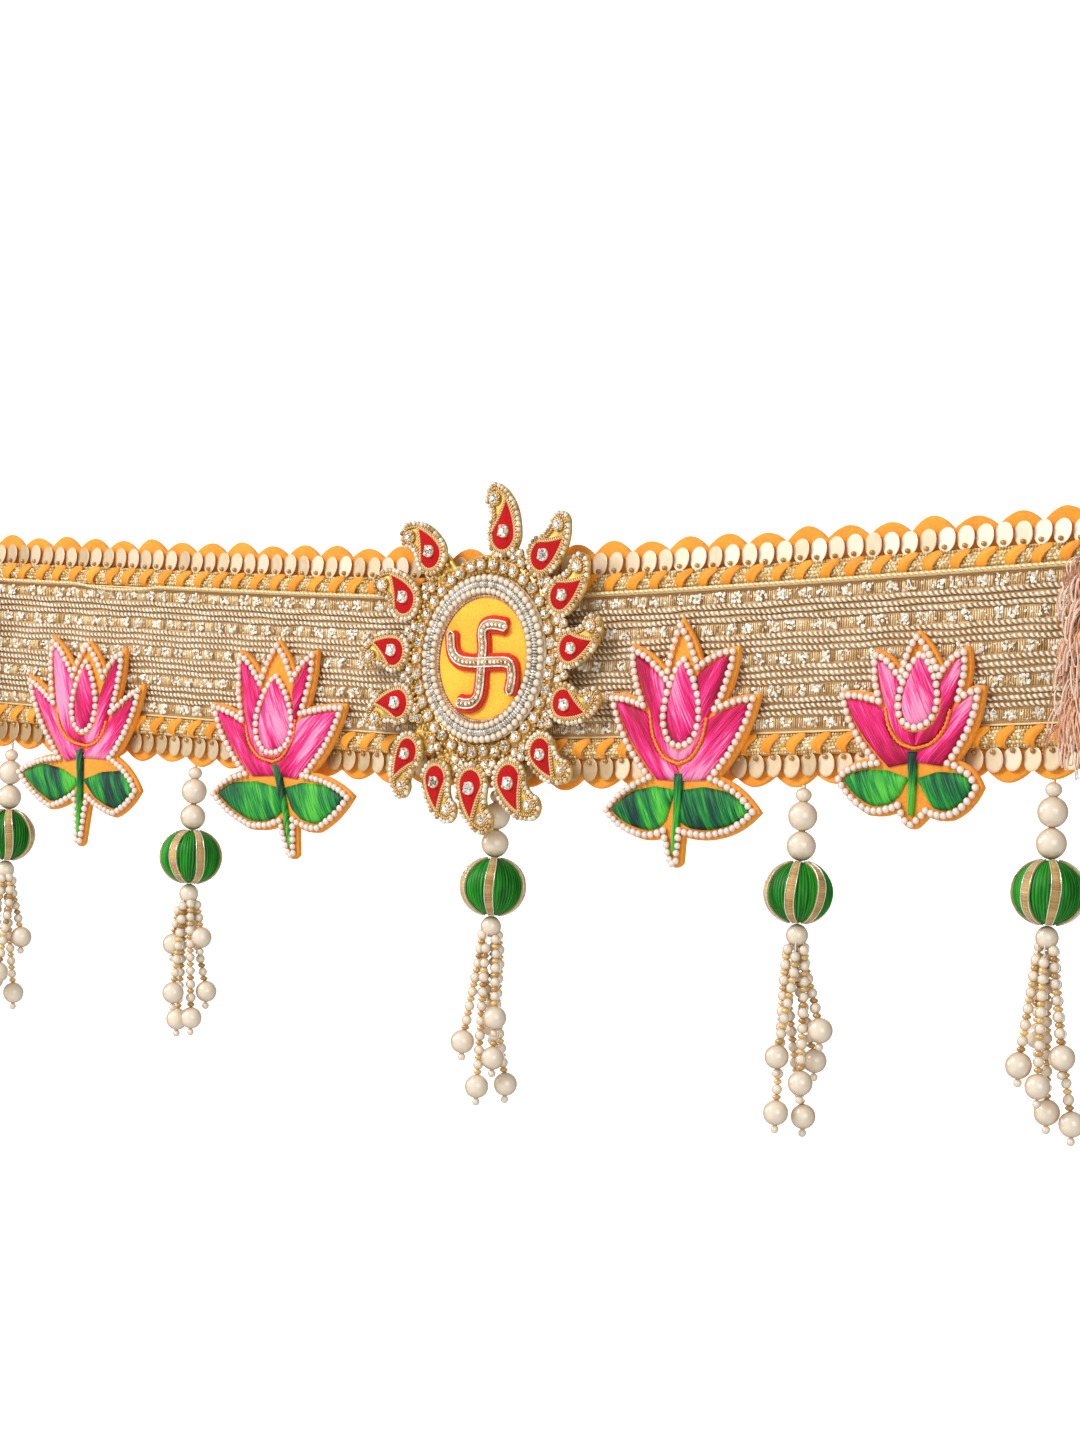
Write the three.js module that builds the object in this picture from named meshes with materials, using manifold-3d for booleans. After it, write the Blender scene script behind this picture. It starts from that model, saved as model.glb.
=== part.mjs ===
// Toran door hanging: a felt band with lace, braid and sequins, a medallion with paisleys,
// four lotus patches, five bead tassels and a looped fringe at each end.
// Millimetres. +X runs along the band, -Y faces the viewer, +Z is up.
// The origin is the band's top edge over the medallion, on the back face of the felt.
import * as THREE from "three";
import { mergeVertices } from "three/addons/utils/BufferGeometryUtils.js";
import Module from "manifold-3d";

const wasm = await Module();
wasm.setup();

// Driving dimensions.
const GAP = 0.3; // between touching pieces
const BAND_LEFT = -297;
const BAND_RIGHT = 266;
const SAG_SLOPE = 0.045; // rise of the band away from the medallion
const SAG_ROUND = 70; // half length of the rounded middle of the sag

const FELT_THICK = 2;
const CREST_PITCH = 17.1; // scallops of the felt edge
const TOP_CREST = 4.8;
const BOTTOM_CREST = 4.2;
const FELT_TOP = -TOP_CREST; // the valleys between the scallops
const FELT_BOTTOM = -80.5;

const SEQUIN_D = 8;
const SEQUIN_PITCH = 7.4;
const SEQUIN_THICK = 1;
const BRAID_TALL = 6;
const BRAID_THICK = 1.6;
const LOOP_PITCH = 10.5; // ribbon loops wound round the braid
const LOOP_RISE = 0.9;
const LOOP_SLANT = 3;

const LACE_TOP = -18.3;
const LACE_BOTTOM = -67.3;
const LACE_THICK = 1.3;
const CORD_PITCH = 2.2; // twisted cords of the lace, in threes
const CORD_RISE = 1;
const LADDER_TALL = 3.9; // open ladder rows between the cords
const LADDER_ROWS = 5;
const EDGE_CORD_D = 1.4;
const LOOSE_CORD = { x: -203, halfLength: 24, drop: 1.6 }; // where the edge cord hangs loose

const PATCH_THICK = 1.8;
const PATCH_MARGIN = 3.4; // felt showing round the stitched petals
const MEDALLION = { x: 1, z: -40 };
const BASE_R = 36;
const LOBE_R = 45; // the base reaches out under each paisley
const STONE_RING = { outer: 33.2, inner: 30.1, thick: 2 };
const PEARL_RING = { outer: 29.6, inner: 21.9, thick: 4.4 };
const DISC = { radius: 21.6, thick: 1.7 };
const SYMBOL = { wide: 6.4, chainWide: 3.4, feltThick: 1.2, chainThick: 1.6, steps: 10, x: 2, z: -41 };

const PAISLEY_R = 8;
const PAISLEY_TIP_R = 5;
const PAISLEY_BEND = [1.2, 8.4]; // what the middle line bends towards, from the bulb's middle
const PAISLEY_TIP = [-4.2, 12.8]; // middle of the curled tip
const PAISLEY_THICK = 2.6;

const PEARL_D = 9.6;
const CAP = { d: 7.5, tall: 4 };
const BALL = { d: 21.6, tall: 19.6, stripRise: 0.5, strips: 5 };
const HEAD_D = 7.4;
const END_PEARL_D = 8.2;
const STRAND_R = 1.25;
const ROOT_SPREAD = 2.6; // from the head pearl's middle to each strand's root
const THREAD_R = 0.7;

// The front of each layer, counted from the back of the felt towards the viewer.
const feltFront = -FELT_THICK;
const trimBack = feltFront - GAP;
const trimFront = trimBack - BRAID_THICK - LOOP_RISE;
const patchBack = trimFront - GAP;
const patchFront = patchBack - PATCH_THICK;
const cordFront = patchBack - EDGE_CORD_D;
const baseBack = cordFront - GAP;
const baseFront = baseBack - PATCH_THICK;
const tier = baseFront - GAP; // back of what is sewn on the medallion's base

// Columns: x and z of the flower's base, then the tips of the felt from there as [x, z].
const LOTUSES = [
  { x: -218, z: -76, outer: [[-34, 30], [35, 26]], inner: [[-20, 45], [23, 40]], middle: [2, 43],
    leaves: [[-38, -8], [36, -13]], stem: [3, -36] },
  { x: -106, z: -80, outer: [[-37, 24], [36, 25]], inner: [[-23, 43], [19, 43]], middle: [-2, 46],
    leaves: [[-35, -10], [41, -9]], stem: [11, -31] },
  { x: 91, z: -79, outer: [[-33, 27], [33, 28]], inner: [[-24, 44], [23, 43]], middle: [-2, 52],
    leaves: [[-33, -11], [35, -10]], stem: [0, -29] },
  { x: 188, z: -70, outer: [[-30, 20], [25, 22]], inner: [[-16, 33], [20, 34]], middle: [0, 39],
    leaves: [[-30, -8], [27, -9]], stem: [0, -22] },
];

// The auspicious cross, as two bent lines that cross: [x, z] from its middle.
const SYMBOL_LINES = [
  [[10, 11.9], [4.6, 12.6], [1.2, 11.9], [-0.2, 8.6], [0.2, 0], [-0.4, -8.6], [-2.6, -13.2],
    [-5.6, -14.5], [-10, -14.3]],
  [[-15.6, 8.8], [-14.8, 4.2], [-12, 1], [-7, -0.3], [0, -0.4], [8.2, -0.2], [12.6, -1], [14.7, -4.4],
    [13.9, -9.4]],
];

// Columns: angle round the medallion, reach of the bulb's middle, lean of the tail from the way
// outwards, counter-clockwise, and size beside the driving dimensions.
const PAISLEYS = [
  { angle: 81, reach: 43.3, lean: 11, size: 1.05 },
  { angle: 54, reach: 43.4, lean: -18, size: 0.99 },
  { angle: 31, reach: 41.4, lean: 4, size: 0.95 },
  { angle: 5, reach: 41, lean: 14, size: 0.92 },
  { angle: -21, reach: 41.9, lean: 9, size: 0.93 },
  { angle: -47, reach: 43.2, lean: -3, size: 0.91 },
  { angle: -70, reach: 44.2, lean: 11, size: 1.03 },
  { angle: -94, reach: 43.8, lean: 13, size: 1.03 },
  { angle: -116, reach: 46.8, lean: 38, size: 0.94 },
  { angle: -137, reach: 48, lean: 17, size: 0.93 },
  { angle: -159, reach: 44.2, lean: -16, size: 0.97 },
  { angle: 177, reach: 44.6, lean: -10, size: 0.96 },
  { angle: 153, reach: 45.5, lean: -19, size: 0.99 },
  { angle: 128, reach: 46.4, lean: 2, size: 0.98 },
];

// Columns: x of the tassel and its strands, each with the x and y of the end pearl from the
// tassel's line and its drop below the head pearl.
const TASSELS = [
  { x: -267, strands: [{ x: 6, y: 5, drop: 26 }, { x: -3, y: -6, drop: 30 },
    { x: 4, y: -4, drop: 40 }, { x: -6, y: 2, drop: 43 }, { x: 3, y: 5, drop: 48 },
    { x: -2, y: -3, drop: 53 }] },
  { x: -157, strands: [{ x: 6, y: 2, drop: 16 }, { x: -4, y: -3, drop: 19 },
    { x: 1, y: -6, drop: 37 }, { x: 7, y: 5, drop: 36 }, { x: -4, y: 1, drop: 47 },
    { x: 5, y: 0, drop: 46 }] },
  { x: 2, strands: [{ x: -5, y: -6, drop: 40 }, { x: -2, y: 5, drop: 34 },
    { x: 5, y: -1, drop: 45 }, { x: 1, y: -4, drop: 55 }, { x: 5, y: 6, drop: 54 },
    { x: 8, y: -4, drop: 31 }] },
  { x: 140, strands: [{ x: -1, y: -6, drop: 39 }, { x: 4, y: 7, drop: 40 },
    { x: 9, y: 3, drop: 30 }, { x: 6, y: -2, drop: 47 }, { x: -2, y: -4, drop: 57 },
    { x: 2, y: 5, drop: 58 }] },
  { x: 239, strands: [{ x: -4, y: 3, drop: 30 }, { x: -4, y: -6, drop: 39 },
    { x: 2, y: -4, drop: 45 }, { x: 7, y: 1, drop: 36 }, { x: 0, y: 4, drop: 53 },
    { x: 8, y: 6, drop: 56 }] },
];

// The looped fringe: a narrow strip at each end of the band, its loops in tiers.
const FRINGE = { stripWide: 8, stripThick: 1.6, stripTall: 54, tiers: 10, fan: [-1, 0, 1],
  rootSpread: 2.8, spread: 12, forward: 9, drop: 15, lockR: 1.25 };
const FRINGE_X = [-287, 256];

const paint = (colour, roughness, metalness = 0) =>
  new THREE.MeshStandardMaterial({ color: colour, roughness, metalness });
const orange = paint(0xf79a28, 0.95);
const gold = paint(0xc9a24f, 0.45, 0.7);
const paleGold = paint(0xe6d6a8, 0.25, 0.8);
const ivory = paint(0xf2e6d0, 0.3);
const green = paint(0x128a2e, 0.7);
const pink = paint(0xe8338c, 0.6);
const red = paint(0xd21f1c, 0.9);
const yellow = paint(0xf7c21e, 0.95);
const dustyPink = paint(0xc99a86, 0.7);

const part = new THREE.Group();
const addPiece = (name, geometry, material) => {
  const mesh = new THREE.Mesh(geometry, material);
  mesh.name = name;
  part.add(mesh);
};

const sag = (x) => SAG_SLOPE * (Math.hypot(x, SAG_ROUND) - SAG_ROUND);
const radians = (degrees) => (degrees * Math.PI) / 180;
const range = (count) => Array.from({ length: count }, (_, i) => i);

// A closed geometry as a solid that can be joined and cut.
function solidOf(geometry) {
  const bare = new THREE.BufferGeometry();
  bare.setAttribute("position", geometry.getAttribute("position"));
  bare.setIndex(geometry.index);
  const merged = mergeVertices(bare, 1e-3);
  return new wasm.Manifold(
    new wasm.Mesh({
      numProp: 3,
      vertProperties: merged.getAttribute("position").array,
      triVerts: new Uint32Array(merged.index.array),
    }),
  );
}

function geometryOf(solid) {
  const mesh = solid.getMesh();
  const geometry = new THREE.BufferGeometry();
  geometry.setAttribute("position", new THREE.BufferAttribute(mesh.vertProperties, 3));
  geometry.setIndex(new THREE.BufferAttribute(mesh.triVerts, 1));
  return geometry;
}

const fuse = (geometries) => geometries.map(solidOf).reduce((all, one) => all.add(one));

// A flat piece of an [x, z] outline, from its back towards the viewer.
function slab(outline, back, thick) {
  const shape = new THREE.Shape(outline.map(([x, z]) => new THREE.Vector2(x, z)));
  const geometry = new THREE.ExtrudeGeometry(shape, { depth: thick, bevelEnabled: false });
  return geometry.rotateX(Math.PI / 2).translate(0, back, 0);
}

// A closed section, counter-clockwise in y and z, carried through stations along the band.
function carried(section, stations) {
  const points = [];
  const faces = [];
  const count = section.length;
  stations.forEach((x, s) => {
    section.forEach((point) => {
      const [y, z, shift = 0] = typeof point === "function" ? point(s) : point;
      points.push(x + shift, y, z + sag(x + shift));
    });
  });
  const corner = (s, i) => s * count + (i % count);
  for (const s of range(stations.length - 1)) {
    for (const i of range(count)) {
      faces.push(corner(s, i), corner(s, i + 1), corner(s + 1, i + 1));
      faces.push(corner(s, i), corner(s + 1, i + 1), corner(s + 1, i));
    }
  }
  const last = stations.length - 1;
  const flat = section.map((point) => (typeof point === "function" ? point(0) : point));
  const cap = THREE.ShapeUtils.triangulateShape(flat.map(([y, z]) => new THREE.Vector2(y, z)), []);
  for (const [a, b, c] of cap) {
    faces.push(corner(0, c), corner(0, b), corner(0, a));
    faces.push(corner(last, a), corner(last, b), corner(last, c));
  }
  const geometry = new THREE.BufferGeometry();
  geometry.setAttribute("position", new THREE.Float32BufferAttribute(points, 3));
  geometry.setIndex(faces);
  return geometry;
}

const evenStations = (count) =>
  range(count + 1).map((i) => BAND_LEFT + ((BAND_RIGHT - BAND_LEFT) * i) / count);

// A lathe about the way to the viewer, from [radius, y] pairs.
const latheY = (profile, segments) =>
  new THREE.LatheGeometry(profile.map(([r, y]) => new THREE.Vector2(r, y)), segments);

// A lathe about the plumb line of a tassel, from [radius, z] pairs, lowest first.
const latheZ = (profile, segments) => latheY(profile, segments).rotateX(Math.PI / 2);

// A ring with a domed front, lying on the medallion's base.
function ring({ outer, inner, thick }, segments) {
  const shoulder = tier - 0.6 * thick;
  const front = tier - thick;
  const inset = 0.25 * (outer - inner);
  const profile = [
    [inner, tier], [inner, shoulder], [inner + inset, front],
    [outer - inset, front], [outer, shoulder], [outer, tier], [inner, tier],
  ];
  return latheY(profile, segments);
}

// The scalloped felt.
function feltOutline() {
  const steps = [0, 0.3, 0.7];
  const first = Math.ceil(BAND_LEFT / CREST_PITCH);
  const last = Math.floor(BAND_RIGHT / CREST_PITCH);
  const edge = (level, rise, phase) => {
    const points = [[BAND_LEFT, level + sag(BAND_LEFT)]];
    for (let crest = first; crest <= last; crest += 1) {
      const height = rise * (0.88 + 0.12 * Math.cos(2.3 * crest + phase));
      for (const t of steps) {
        const x = (crest - 0.5 + t) * CREST_PITCH;
        if (x <= BAND_LEFT + 1 || x >= BAND_RIGHT - 1) continue;
        points.push([x, level + sag(x) + height * Math.sin(Math.PI * t)]);
      }
    }
    points.push([BAND_RIGHT, level + sag(BAND_RIGHT)]);
    return points;
  };
  return [...edge(FELT_BOTTOM, -BOTTOM_CREST, 1.2), ...edge(FELT_TOP, TOP_CREST, 0).reverse()];
}

// A row of sequins on their tape: level is the sewn edge, way is where the sequins point.
function sequinOutline(level, way) {
  const r = SEQUIN_D / 2;
  const half = SEQUIN_PITCH / 2;
  const middle = level + way * (r - 1);
  const valley = Math.sqrt(r * r - half * half);
  const count = Math.floor((BAND_RIGHT - BAND_LEFT) / SEQUIN_PITCH);
  const tips = [];
  for (const i of range(count)) {
    const x = BAND_LEFT + (i + 0.5) * SEQUIN_PITCH;
    tips.push([x - half, middle + way * valley + sag(x)]);
    tips.push([x - 0.48 * r, middle + way * 0.88 * r + sag(x)]);
    tips.push([x + 0.48 * r, middle + way * 0.88 * r + sag(x)]);
  }
  const sewn = evenStations(18).map((x) => [x, level + sag(x)]);
  return way > 0 ? [...sewn, ...tips.reverse()] : [...tips, ...sewn.reverse()];
}

// The braid, its front raised where each slanted ribbon loop passes.
function braid(top) {
  const loops = Math.floor((BAND_RIGHT - BAND_LEFT - 2 * LOOP_SLANT) / LOOP_PITCH);
  const stations = range(loops * 2 + 1).map((i) => BAND_LEFT + (i * LOOP_PITCH) / 2);
  const front = (s) => trimBack - BRAID_THICK - (s % 2) * LOOP_RISE;
  const slant = (s) => (s === 0 || s === stations.length - 1 ? 0 : LOOP_SLANT);
  return carried(
    [
      [trimBack, top],
      (s) => [front(s), top, slant(s)],
      (s) => [front(s), top - BRAID_TALL],
      [trimBack, top - BRAID_TALL],
    ],
    stations,
  );
}

// The lace: flat ladder rows with three raised cords between each two.
function lace() {
  const flat = trimBack - LACE_THICK;
  const tall = LADDER_ROWS * LADDER_TALL + (LADDER_ROWS - 1) * 3 * CORD_PITCH;
  const selvedge = (LACE_TOP - LACE_BOTTOM - tall) / 2;
  const front = [[flat, LACE_TOP]];
  let z = LACE_TOP - selvedge;
  for (const row of range(LADDER_ROWS)) {
    z -= LADDER_TALL;
    if (row === LADDER_ROWS - 1) break;
    front.push([flat, z]);
    for (const cord of range(3)) {
      front.push([flat - CORD_RISE, z - 0.5 * CORD_PITCH]);
      z -= CORD_PITCH;
      front.push([flat, z]);
    }
  }
  front.push([flat, LACE_BOTTOM]);
  return carried([[trimBack, LACE_TOP], ...front, [trimBack, LACE_BOTTOM]], evenStations(12));
}

function edgeCord() {
  const stations = range(29).map((i) => BAND_LEFT + ((BAND_RIGHT - BAND_LEFT) * i) / 28);
  const drop = (s) => {
    const off = (stations[s] - LOOSE_CORD.x) / LOOSE_CORD.halfLength;
    return Math.abs(off) < 1 ? LOOSE_CORD.drop * (1 - off * off) : 0;
  };
  const corner = (y, z) => (s) => [y, LACE_TOP + z - drop(s)];
  const r = EDGE_CORD_D / 2;
  return carried(
    [corner(patchBack, 0), corner(patchBack - r, r), corner(cordFront, 0), corner(patchBack - r, -r)],
    stations,
  );
}

addPiece("felt", slab(feltOutline(), 0, FELT_THICK), orange);
addPiece("lace_panel", lace(), gold);
addPiece("braid_top", braid(LACE_TOP + GAP + BRAID_TALL), gold);
addPiece("braid_bottom", braid(LACE_BOTTOM - GAP), gold);
const sequinLevel = GAP + BRAID_TALL + GAP;
addPiece("sequins_top", slab(sequinOutline(LACE_TOP + sequinLevel, 1), trimBack, SEQUIN_THICK), paleGold);
addPiece("sequins_bottom", slab(sequinOutline(LACE_BOTTOM - sequinLevel, -1), trimBack, SEQUIN_THICK), paleGold);
addPiece("edge_cord", edgeCord(), gold);

// A petal or leaf from its root to its tip, grown all round.
function petal(root, tip, wide, grow) {
  const from = new THREE.Vector2(...root);
  const to = new THREE.Vector2(...tip);
  const along = to.clone().sub(from).normalize();
  const side = new THREE.Vector2(-along.y, along.x);
  const end = to.clone().addScaledVector(along, grow - PATCH_MARGIN);
  const at = (base, forward, sideways) =>
    base.clone().addScaledVector(along, forward).addScaledVector(side, sideways);
  const belly = 0.45 * end.distanceTo(from);
  const left = new THREE.QuadraticBezierCurve(
    at(from, -grow, 0.3 * wide + grow), at(from, belly, 0.85 * wide + grow), end);
  const right = new THREE.QuadraticBezierCurve(
    end, at(from, belly, -0.85 * wide - grow), at(from, -grow, -0.3 * wide - grow));
  const points = [...left.getPoints(4), ...right.getPoints(4).slice(1)];
  return points.reverse().map(({ x, y }) => [x, y]);
}

const leanOf = (stemTip) => stemTip[0] / -stemTip[1];

function stem(tip, grow) {
  const half = 1.3 + grow;
  const lean = leanOf(tip);
  const foot = [tip[0], tip[1] + PATCH_MARGIN - grow];
  const top = -3.5;
  return [
    [foot[0] - half, foot[1]], [foot[0] + half, foot[1]],
    [-lean * top + half, top], [-lean * top - half, top],
  ];
}

// The stitched parts of a lotus, grown by the same amount.
const bloomOutlines = (lotus, grow) => [
  ...lotus.outer.map((tip) => petal([0.1 * tip[0], 1], tip, 14, grow)),
  ...lotus.inner.map((tip) => petal([0.15 * tip[0], 2], tip, 14, grow)),
  petal([0, 1], lotus.middle, 15, grow),
];
const leafOutlines = (lotus, grow) => [
  ...lotus.leaves.map((tip) => petal([10 * leanOf(lotus.stem), -10], tip, 11.5, grow)),
  stem(lotus.stem, grow),
];

LOTUSES.forEach((lotus, i) => {
  const name = "lotus_" + (i + 1);
  const stitched = patchFront - GAP;
  const patch = [...bloomOutlines(lotus, PATCH_MARGIN), ...leafOutlines(lotus, PATCH_MARGIN)];
  const steps = [1.2, 1.2, 1.5, 1.5, 2];
  const bloom = bloomOutlines(lotus, 0).map((outline, k) => slab(outline, stitched, steps[k]));
  const leaves = leafOutlines(lotus, 0).map((outline) => slab(outline, stitched, 1.2));
  const clear = leafOutlines(lotus, GAP).map((outline) => slab(outline, stitched + 1, 4));
  const place = (solid) => geometryOf(solid).translate(lotus.x, 0, lotus.z);
  addPiece(name + "_felt", place(fuse(patch.map((outline) => slab(outline, patchBack, PATCH_THICK)))), orange);
  addPiece(name + "_bloom", place(fuse(bloom).subtract(fuse(clear))), pink);
  addPiece(name + "_leaves", place(fuse(leaves)), green);
});

// The medallion's base: a disc with a lobe under each paisley.
function baseOutline() {
  const points = [];
  const sorted = [...PAISLEYS].sort((a, b) => a.angle - b.angle);
  const polar = (r, degrees) => [r * Math.cos(radians(degrees)), r * Math.sin(radians(degrees))];
  for (const { angle } of sorted) {
    points.push(polar(BASE_R, angle - 9), polar(LOBE_R, angle - 5));
    points.push(polar(LOBE_R, angle + 5), polar(BASE_R, angle + 9));
  }
  return points;
}

// The cross as a flat piece of even width: short slabs with round ends, joined along its lines.
function symbolPiece(wide, back, thick) {
  const cap = ({ x, y }, start) =>
    range(6).map((k) => {
      const angle = start + (Math.PI * k) / 5;
      return [x + (wide / 2) * Math.cos(angle), y + (wide / 2) * Math.sin(angle)];
    });
  const stretches = SYMBOL_LINES.flatMap((line) => {
    const curve = new THREE.SplineCurve(line.map(([x, z]) => new THREE.Vector2(x, z)));
    const points = curve.getPoints(SYMBOL.steps);
    return range(SYMBOL.steps).map((i) => {
      const from = points[i];
      const to = points[i + 1];
      const way = Math.atan2(to.y - from.y, to.x - from.x);
      return slab([...cap(to, way - Math.PI / 2), ...cap(from, way + Math.PI / 2)], back, thick);
    });
  });
  return geometryOf(fuse(stretches)).translate(SYMBOL.x, 0, SYMBOL.z);
}

const onMedallion = (geometry) => geometry.translate(MEDALLION.x, 0, MEDALLION.z);
const discFront = tier - DISC.thick;
const symbolBack = discFront - GAP;
addPiece("medallion_base", onMedallion(slab(baseOutline(), baseBack, PATCH_THICK)), gold);
addPiece("stone_ring", onMedallion(ring(STONE_RING, 28)), gold);
addPiece("pearl_ring", onMedallion(ring(PEARL_RING, 28)), ivory);
const discProfile = [[0, discFront], [DISC.radius, discFront], [DISC.radius, tier], [0, tier]];
addPiece("medallion_disc", onMedallion(latheY(discProfile, 28)), yellow);
const chainBack = symbolBack - SYMBOL.feltThick - GAP;
addPiece("symbol_felt", symbolPiece(SYMBOL.wide, symbolBack, SYMBOL.feltThick), red);
addPiece("symbol_chain", symbolPiece(SYMBOL.chainWide, chainBack, SYMBOL.chainThick), paleGold);

// A paisley in its own place: bulb at the origin, tail along +z, its rounded tip curled to -x.
function paisleyOutline(size) {
  const middle = new THREE.QuadraticBezierCurve(
    new THREE.Vector2(0, 0), new THREE.Vector2(...PAISLEY_BEND), new THREE.Vector2(...PAISLEY_TIP));
  const left = [];
  const right = [];
  const ways = [];
  for (const i of range(7)) {
    const t = i / 6;
    const { x, y } = middle.getPoint(t);
    const along = middle.getTangent(t);
    const width = PAISLEY_R + (PAISLEY_TIP_R - PAISLEY_R) * t;
    left.push([x - width * along.y, y + width * along.x]);
    right.push([x + width * along.y, y - width * along.x]);
    ways.push(Math.atan2(along.y, along.x) - Math.PI / 2);
  }
  const round = ([cx, cz], r, start, count) =>
    range(count).map((i) => {
      const angle = start + (Math.PI * (i + 1)) / (count + 1);
      return [cx + r * Math.cos(angle), cz + r * Math.sin(angle)];
    });
  const bottom = round([0, 0], PAISLEY_R, ways[0] + Math.PI, 5);
  const tip = round(PAISLEY_TIP, PAISLEY_TIP_R, ways[6], 3);
  return [...bottom, ...right, ...tip, ...left.reverse()].map(([x, z]) => [size * x, size * z]);
}

PAISLEYS.forEach(({ angle, reach, lean, size }, i) => {
  const name = "paisley_" + String(i + 1).padStart(2, "0");
  const turn = radians(angle + lean - 90);
  const geometry = slab(paisleyOutline(size), tier, PAISLEY_THICK).rotateY(-turn);
  geometry.translate(reach * Math.cos(radians(angle)), 0, reach * Math.sin(radians(angle)));
  addPiece(name, onMedallion(geometry), red);
});

// Half the outline of a bead, lowest point first, cut where the thread passes.
function beadProfile(middle, width, tall, steps) {
  const cut = Math.asin(THREAD_R / (width / 2));
  return range(steps + 1).map((i) => {
    const angle = cut + ((Math.PI - 2 * cut) * i) / steps;
    return [(width / 2) * Math.sin(angle), middle - (tall / 2) * Math.cos(angle)];
  });
}

// A rod of three sides through points, for strands and fringe locks.
function rod(points, radius) {
  const corners = range(3).map((i) => {
    const angle = radians(90 + 120 * i);
    return new THREE.Vector2(radius * Math.cos(angle), radius * Math.sin(angle));
  });
  const path = new THREE.CatmullRomCurve3(points.map((p) => new THREE.Vector3(...p)));
  return new THREE.ExtrudeGeometry(new THREE.Shape(corners), {
    extrudePath: path, steps: points.length - 1, bevelEnabled: false,
  });
}

// The thread ball: a low sphere with ribbon strips raised from pole to pole.
function threadBall(middle) {
  const segments = BALL.strips * 4;
  const profile = range(7).map((i) => {
    const angle = (Math.PI * i) / 6;
    return [(BALL.d / 2) * Math.sin(angle), middle - (BALL.tall / 2) * Math.cos(angle)];
  });
  profile[0][0] = 0;
  profile[6][0] = 0;
  const ball = latheZ(profile, segments);
  const position = ball.getAttribute("position");
  for (const i of range(position.count)) {
    const x = position.getX(i);
    const y = position.getY(i);
    const r = Math.hypot(x, y);
    if (r < 1e-6) continue;
    const step = Math.round((Math.atan2(y, x) / (2 * Math.PI)) * segments + segments) % 4;
    const grown = step < 2 ? (r + BALL.stripRise) / r : 1;
    position.setXY(i, x * grown, y * grown);
  }
  return ball;
}

TASSELS.forEach(({ x, strands }, i) => {
  const name = "tassel_" + (i + 1);
  const top = FELT_BOTTOM - BOTTOM_CREST + sag(x) - GAP;
  const capMiddle = top - CAP.tall / 2;
  const upper = capMiddle - CAP.tall / 2 - PEARL_D / 2;
  const lower = upper - PEARL_D;
  const lowerEnd = lower - PEARL_D / 2;
  const profile = [
    [0, lowerEnd],
    ...beadProfile(lower, PEARL_D, PEARL_D, 5),
    ...beadProfile(upper, PEARL_D, PEARL_D, 5).slice(1),
    ...beadProfile(capMiddle, CAP.d, CAP.tall, 3).slice(1),
    [0, top],
  ];
  const hung = (geometry) => geometry.translate(x, feltFront / 2, 0);
  addPiece(name + "_pearls", hung(latheZ(profile, 8)), ivory);

  const ballMiddle = lowerEnd - GAP - BALL.tall / 2;
  addPiece(name + "_ball", hung(threadBall(ballMiddle)), green);

  const headMiddle = ballMiddle - BALL.tall / 2 - GAP - HEAD_D / 2;
  const pieces = [new THREE.SphereGeometry(HEAD_D / 2, 7, 5).translate(0, 0, headMiddle)];
  for (const { x: dx, y: dy, drop } of strands) {
    const end = [dx, dy, headMiddle - drop];
    const bend = [0.6 * dx, 0.6 * dy, headMiddle - 0.35 * drop];
    const out = ROOT_SPREAD / Math.hypot(dx, dy);
    pieces.push(rod([[out * dx, out * dy, headMiddle - 1], bend, end], STRAND_R));
    pieces.push(new THREE.SphereGeometry(END_PEARL_D / 2, 6, 4).translate(...end));
  }
  addPiece(name + "_strands", hung(geometryOf(fuse(pieces))), ivory);
});

["fringe_left", "fringe_right"].forEach((name, side) => {
  const middle = FRINGE_X[side];
  const back = baseBack;
  const top = LACE_TOP + sag(middle) + 3;
  const strip = new THREE.BoxGeometry(FRINGE.stripWide, FRINGE.stripThick, FRINGE.stripTall);
  strip.translate(middle, back - FRINGE.stripThick / 2, top - FRINGE.stripTall / 2);
  const pieces = [strip];
  const front = back - FRINGE.stripThick;
  for (const level of range(FRINGE.tiers)) {
    const z = top - 3 - (level * (FRINGE.stripTall - 6)) / (FRINGE.tiers - 1);
    for (const fan of FRINGE.fan) {
      const length = 0.92 + 0.08 * Math.sin(3.7 * level + 5 * fan);
      const root = [middle + FRINGE.rootSpread * fan, front + 0.8, z];
      const bow = [middle + 0.5 * FRINGE.spread * fan, front - 0.6 * FRINGE.forward, z - 0.3 * FRINGE.drop];
      const tip = [middle + FRINGE.spread * fan, front - FRINGE.forward * length, z - FRINGE.drop * length];
      pieces.push(rod([root, bow, tip], FRINGE.lockR));
    }
  }
  addPiece(name, geometryOf(fuse(pieces)), dustyPink);
});

export default part;
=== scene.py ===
# Looks of a toran door hanging: felt band, lace, braid, sequins, medallion, lotus patches,
# bead tassels and looped fringes.
# Sizes are millimetres in the CAD frame: +X along the band, -Y to the viewer, +Z up.
from math import atan2, ceil, cos, floor, pi, radians, sin

import bpy
import numpy as np
from mathutils import Matrix, Vector


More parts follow.
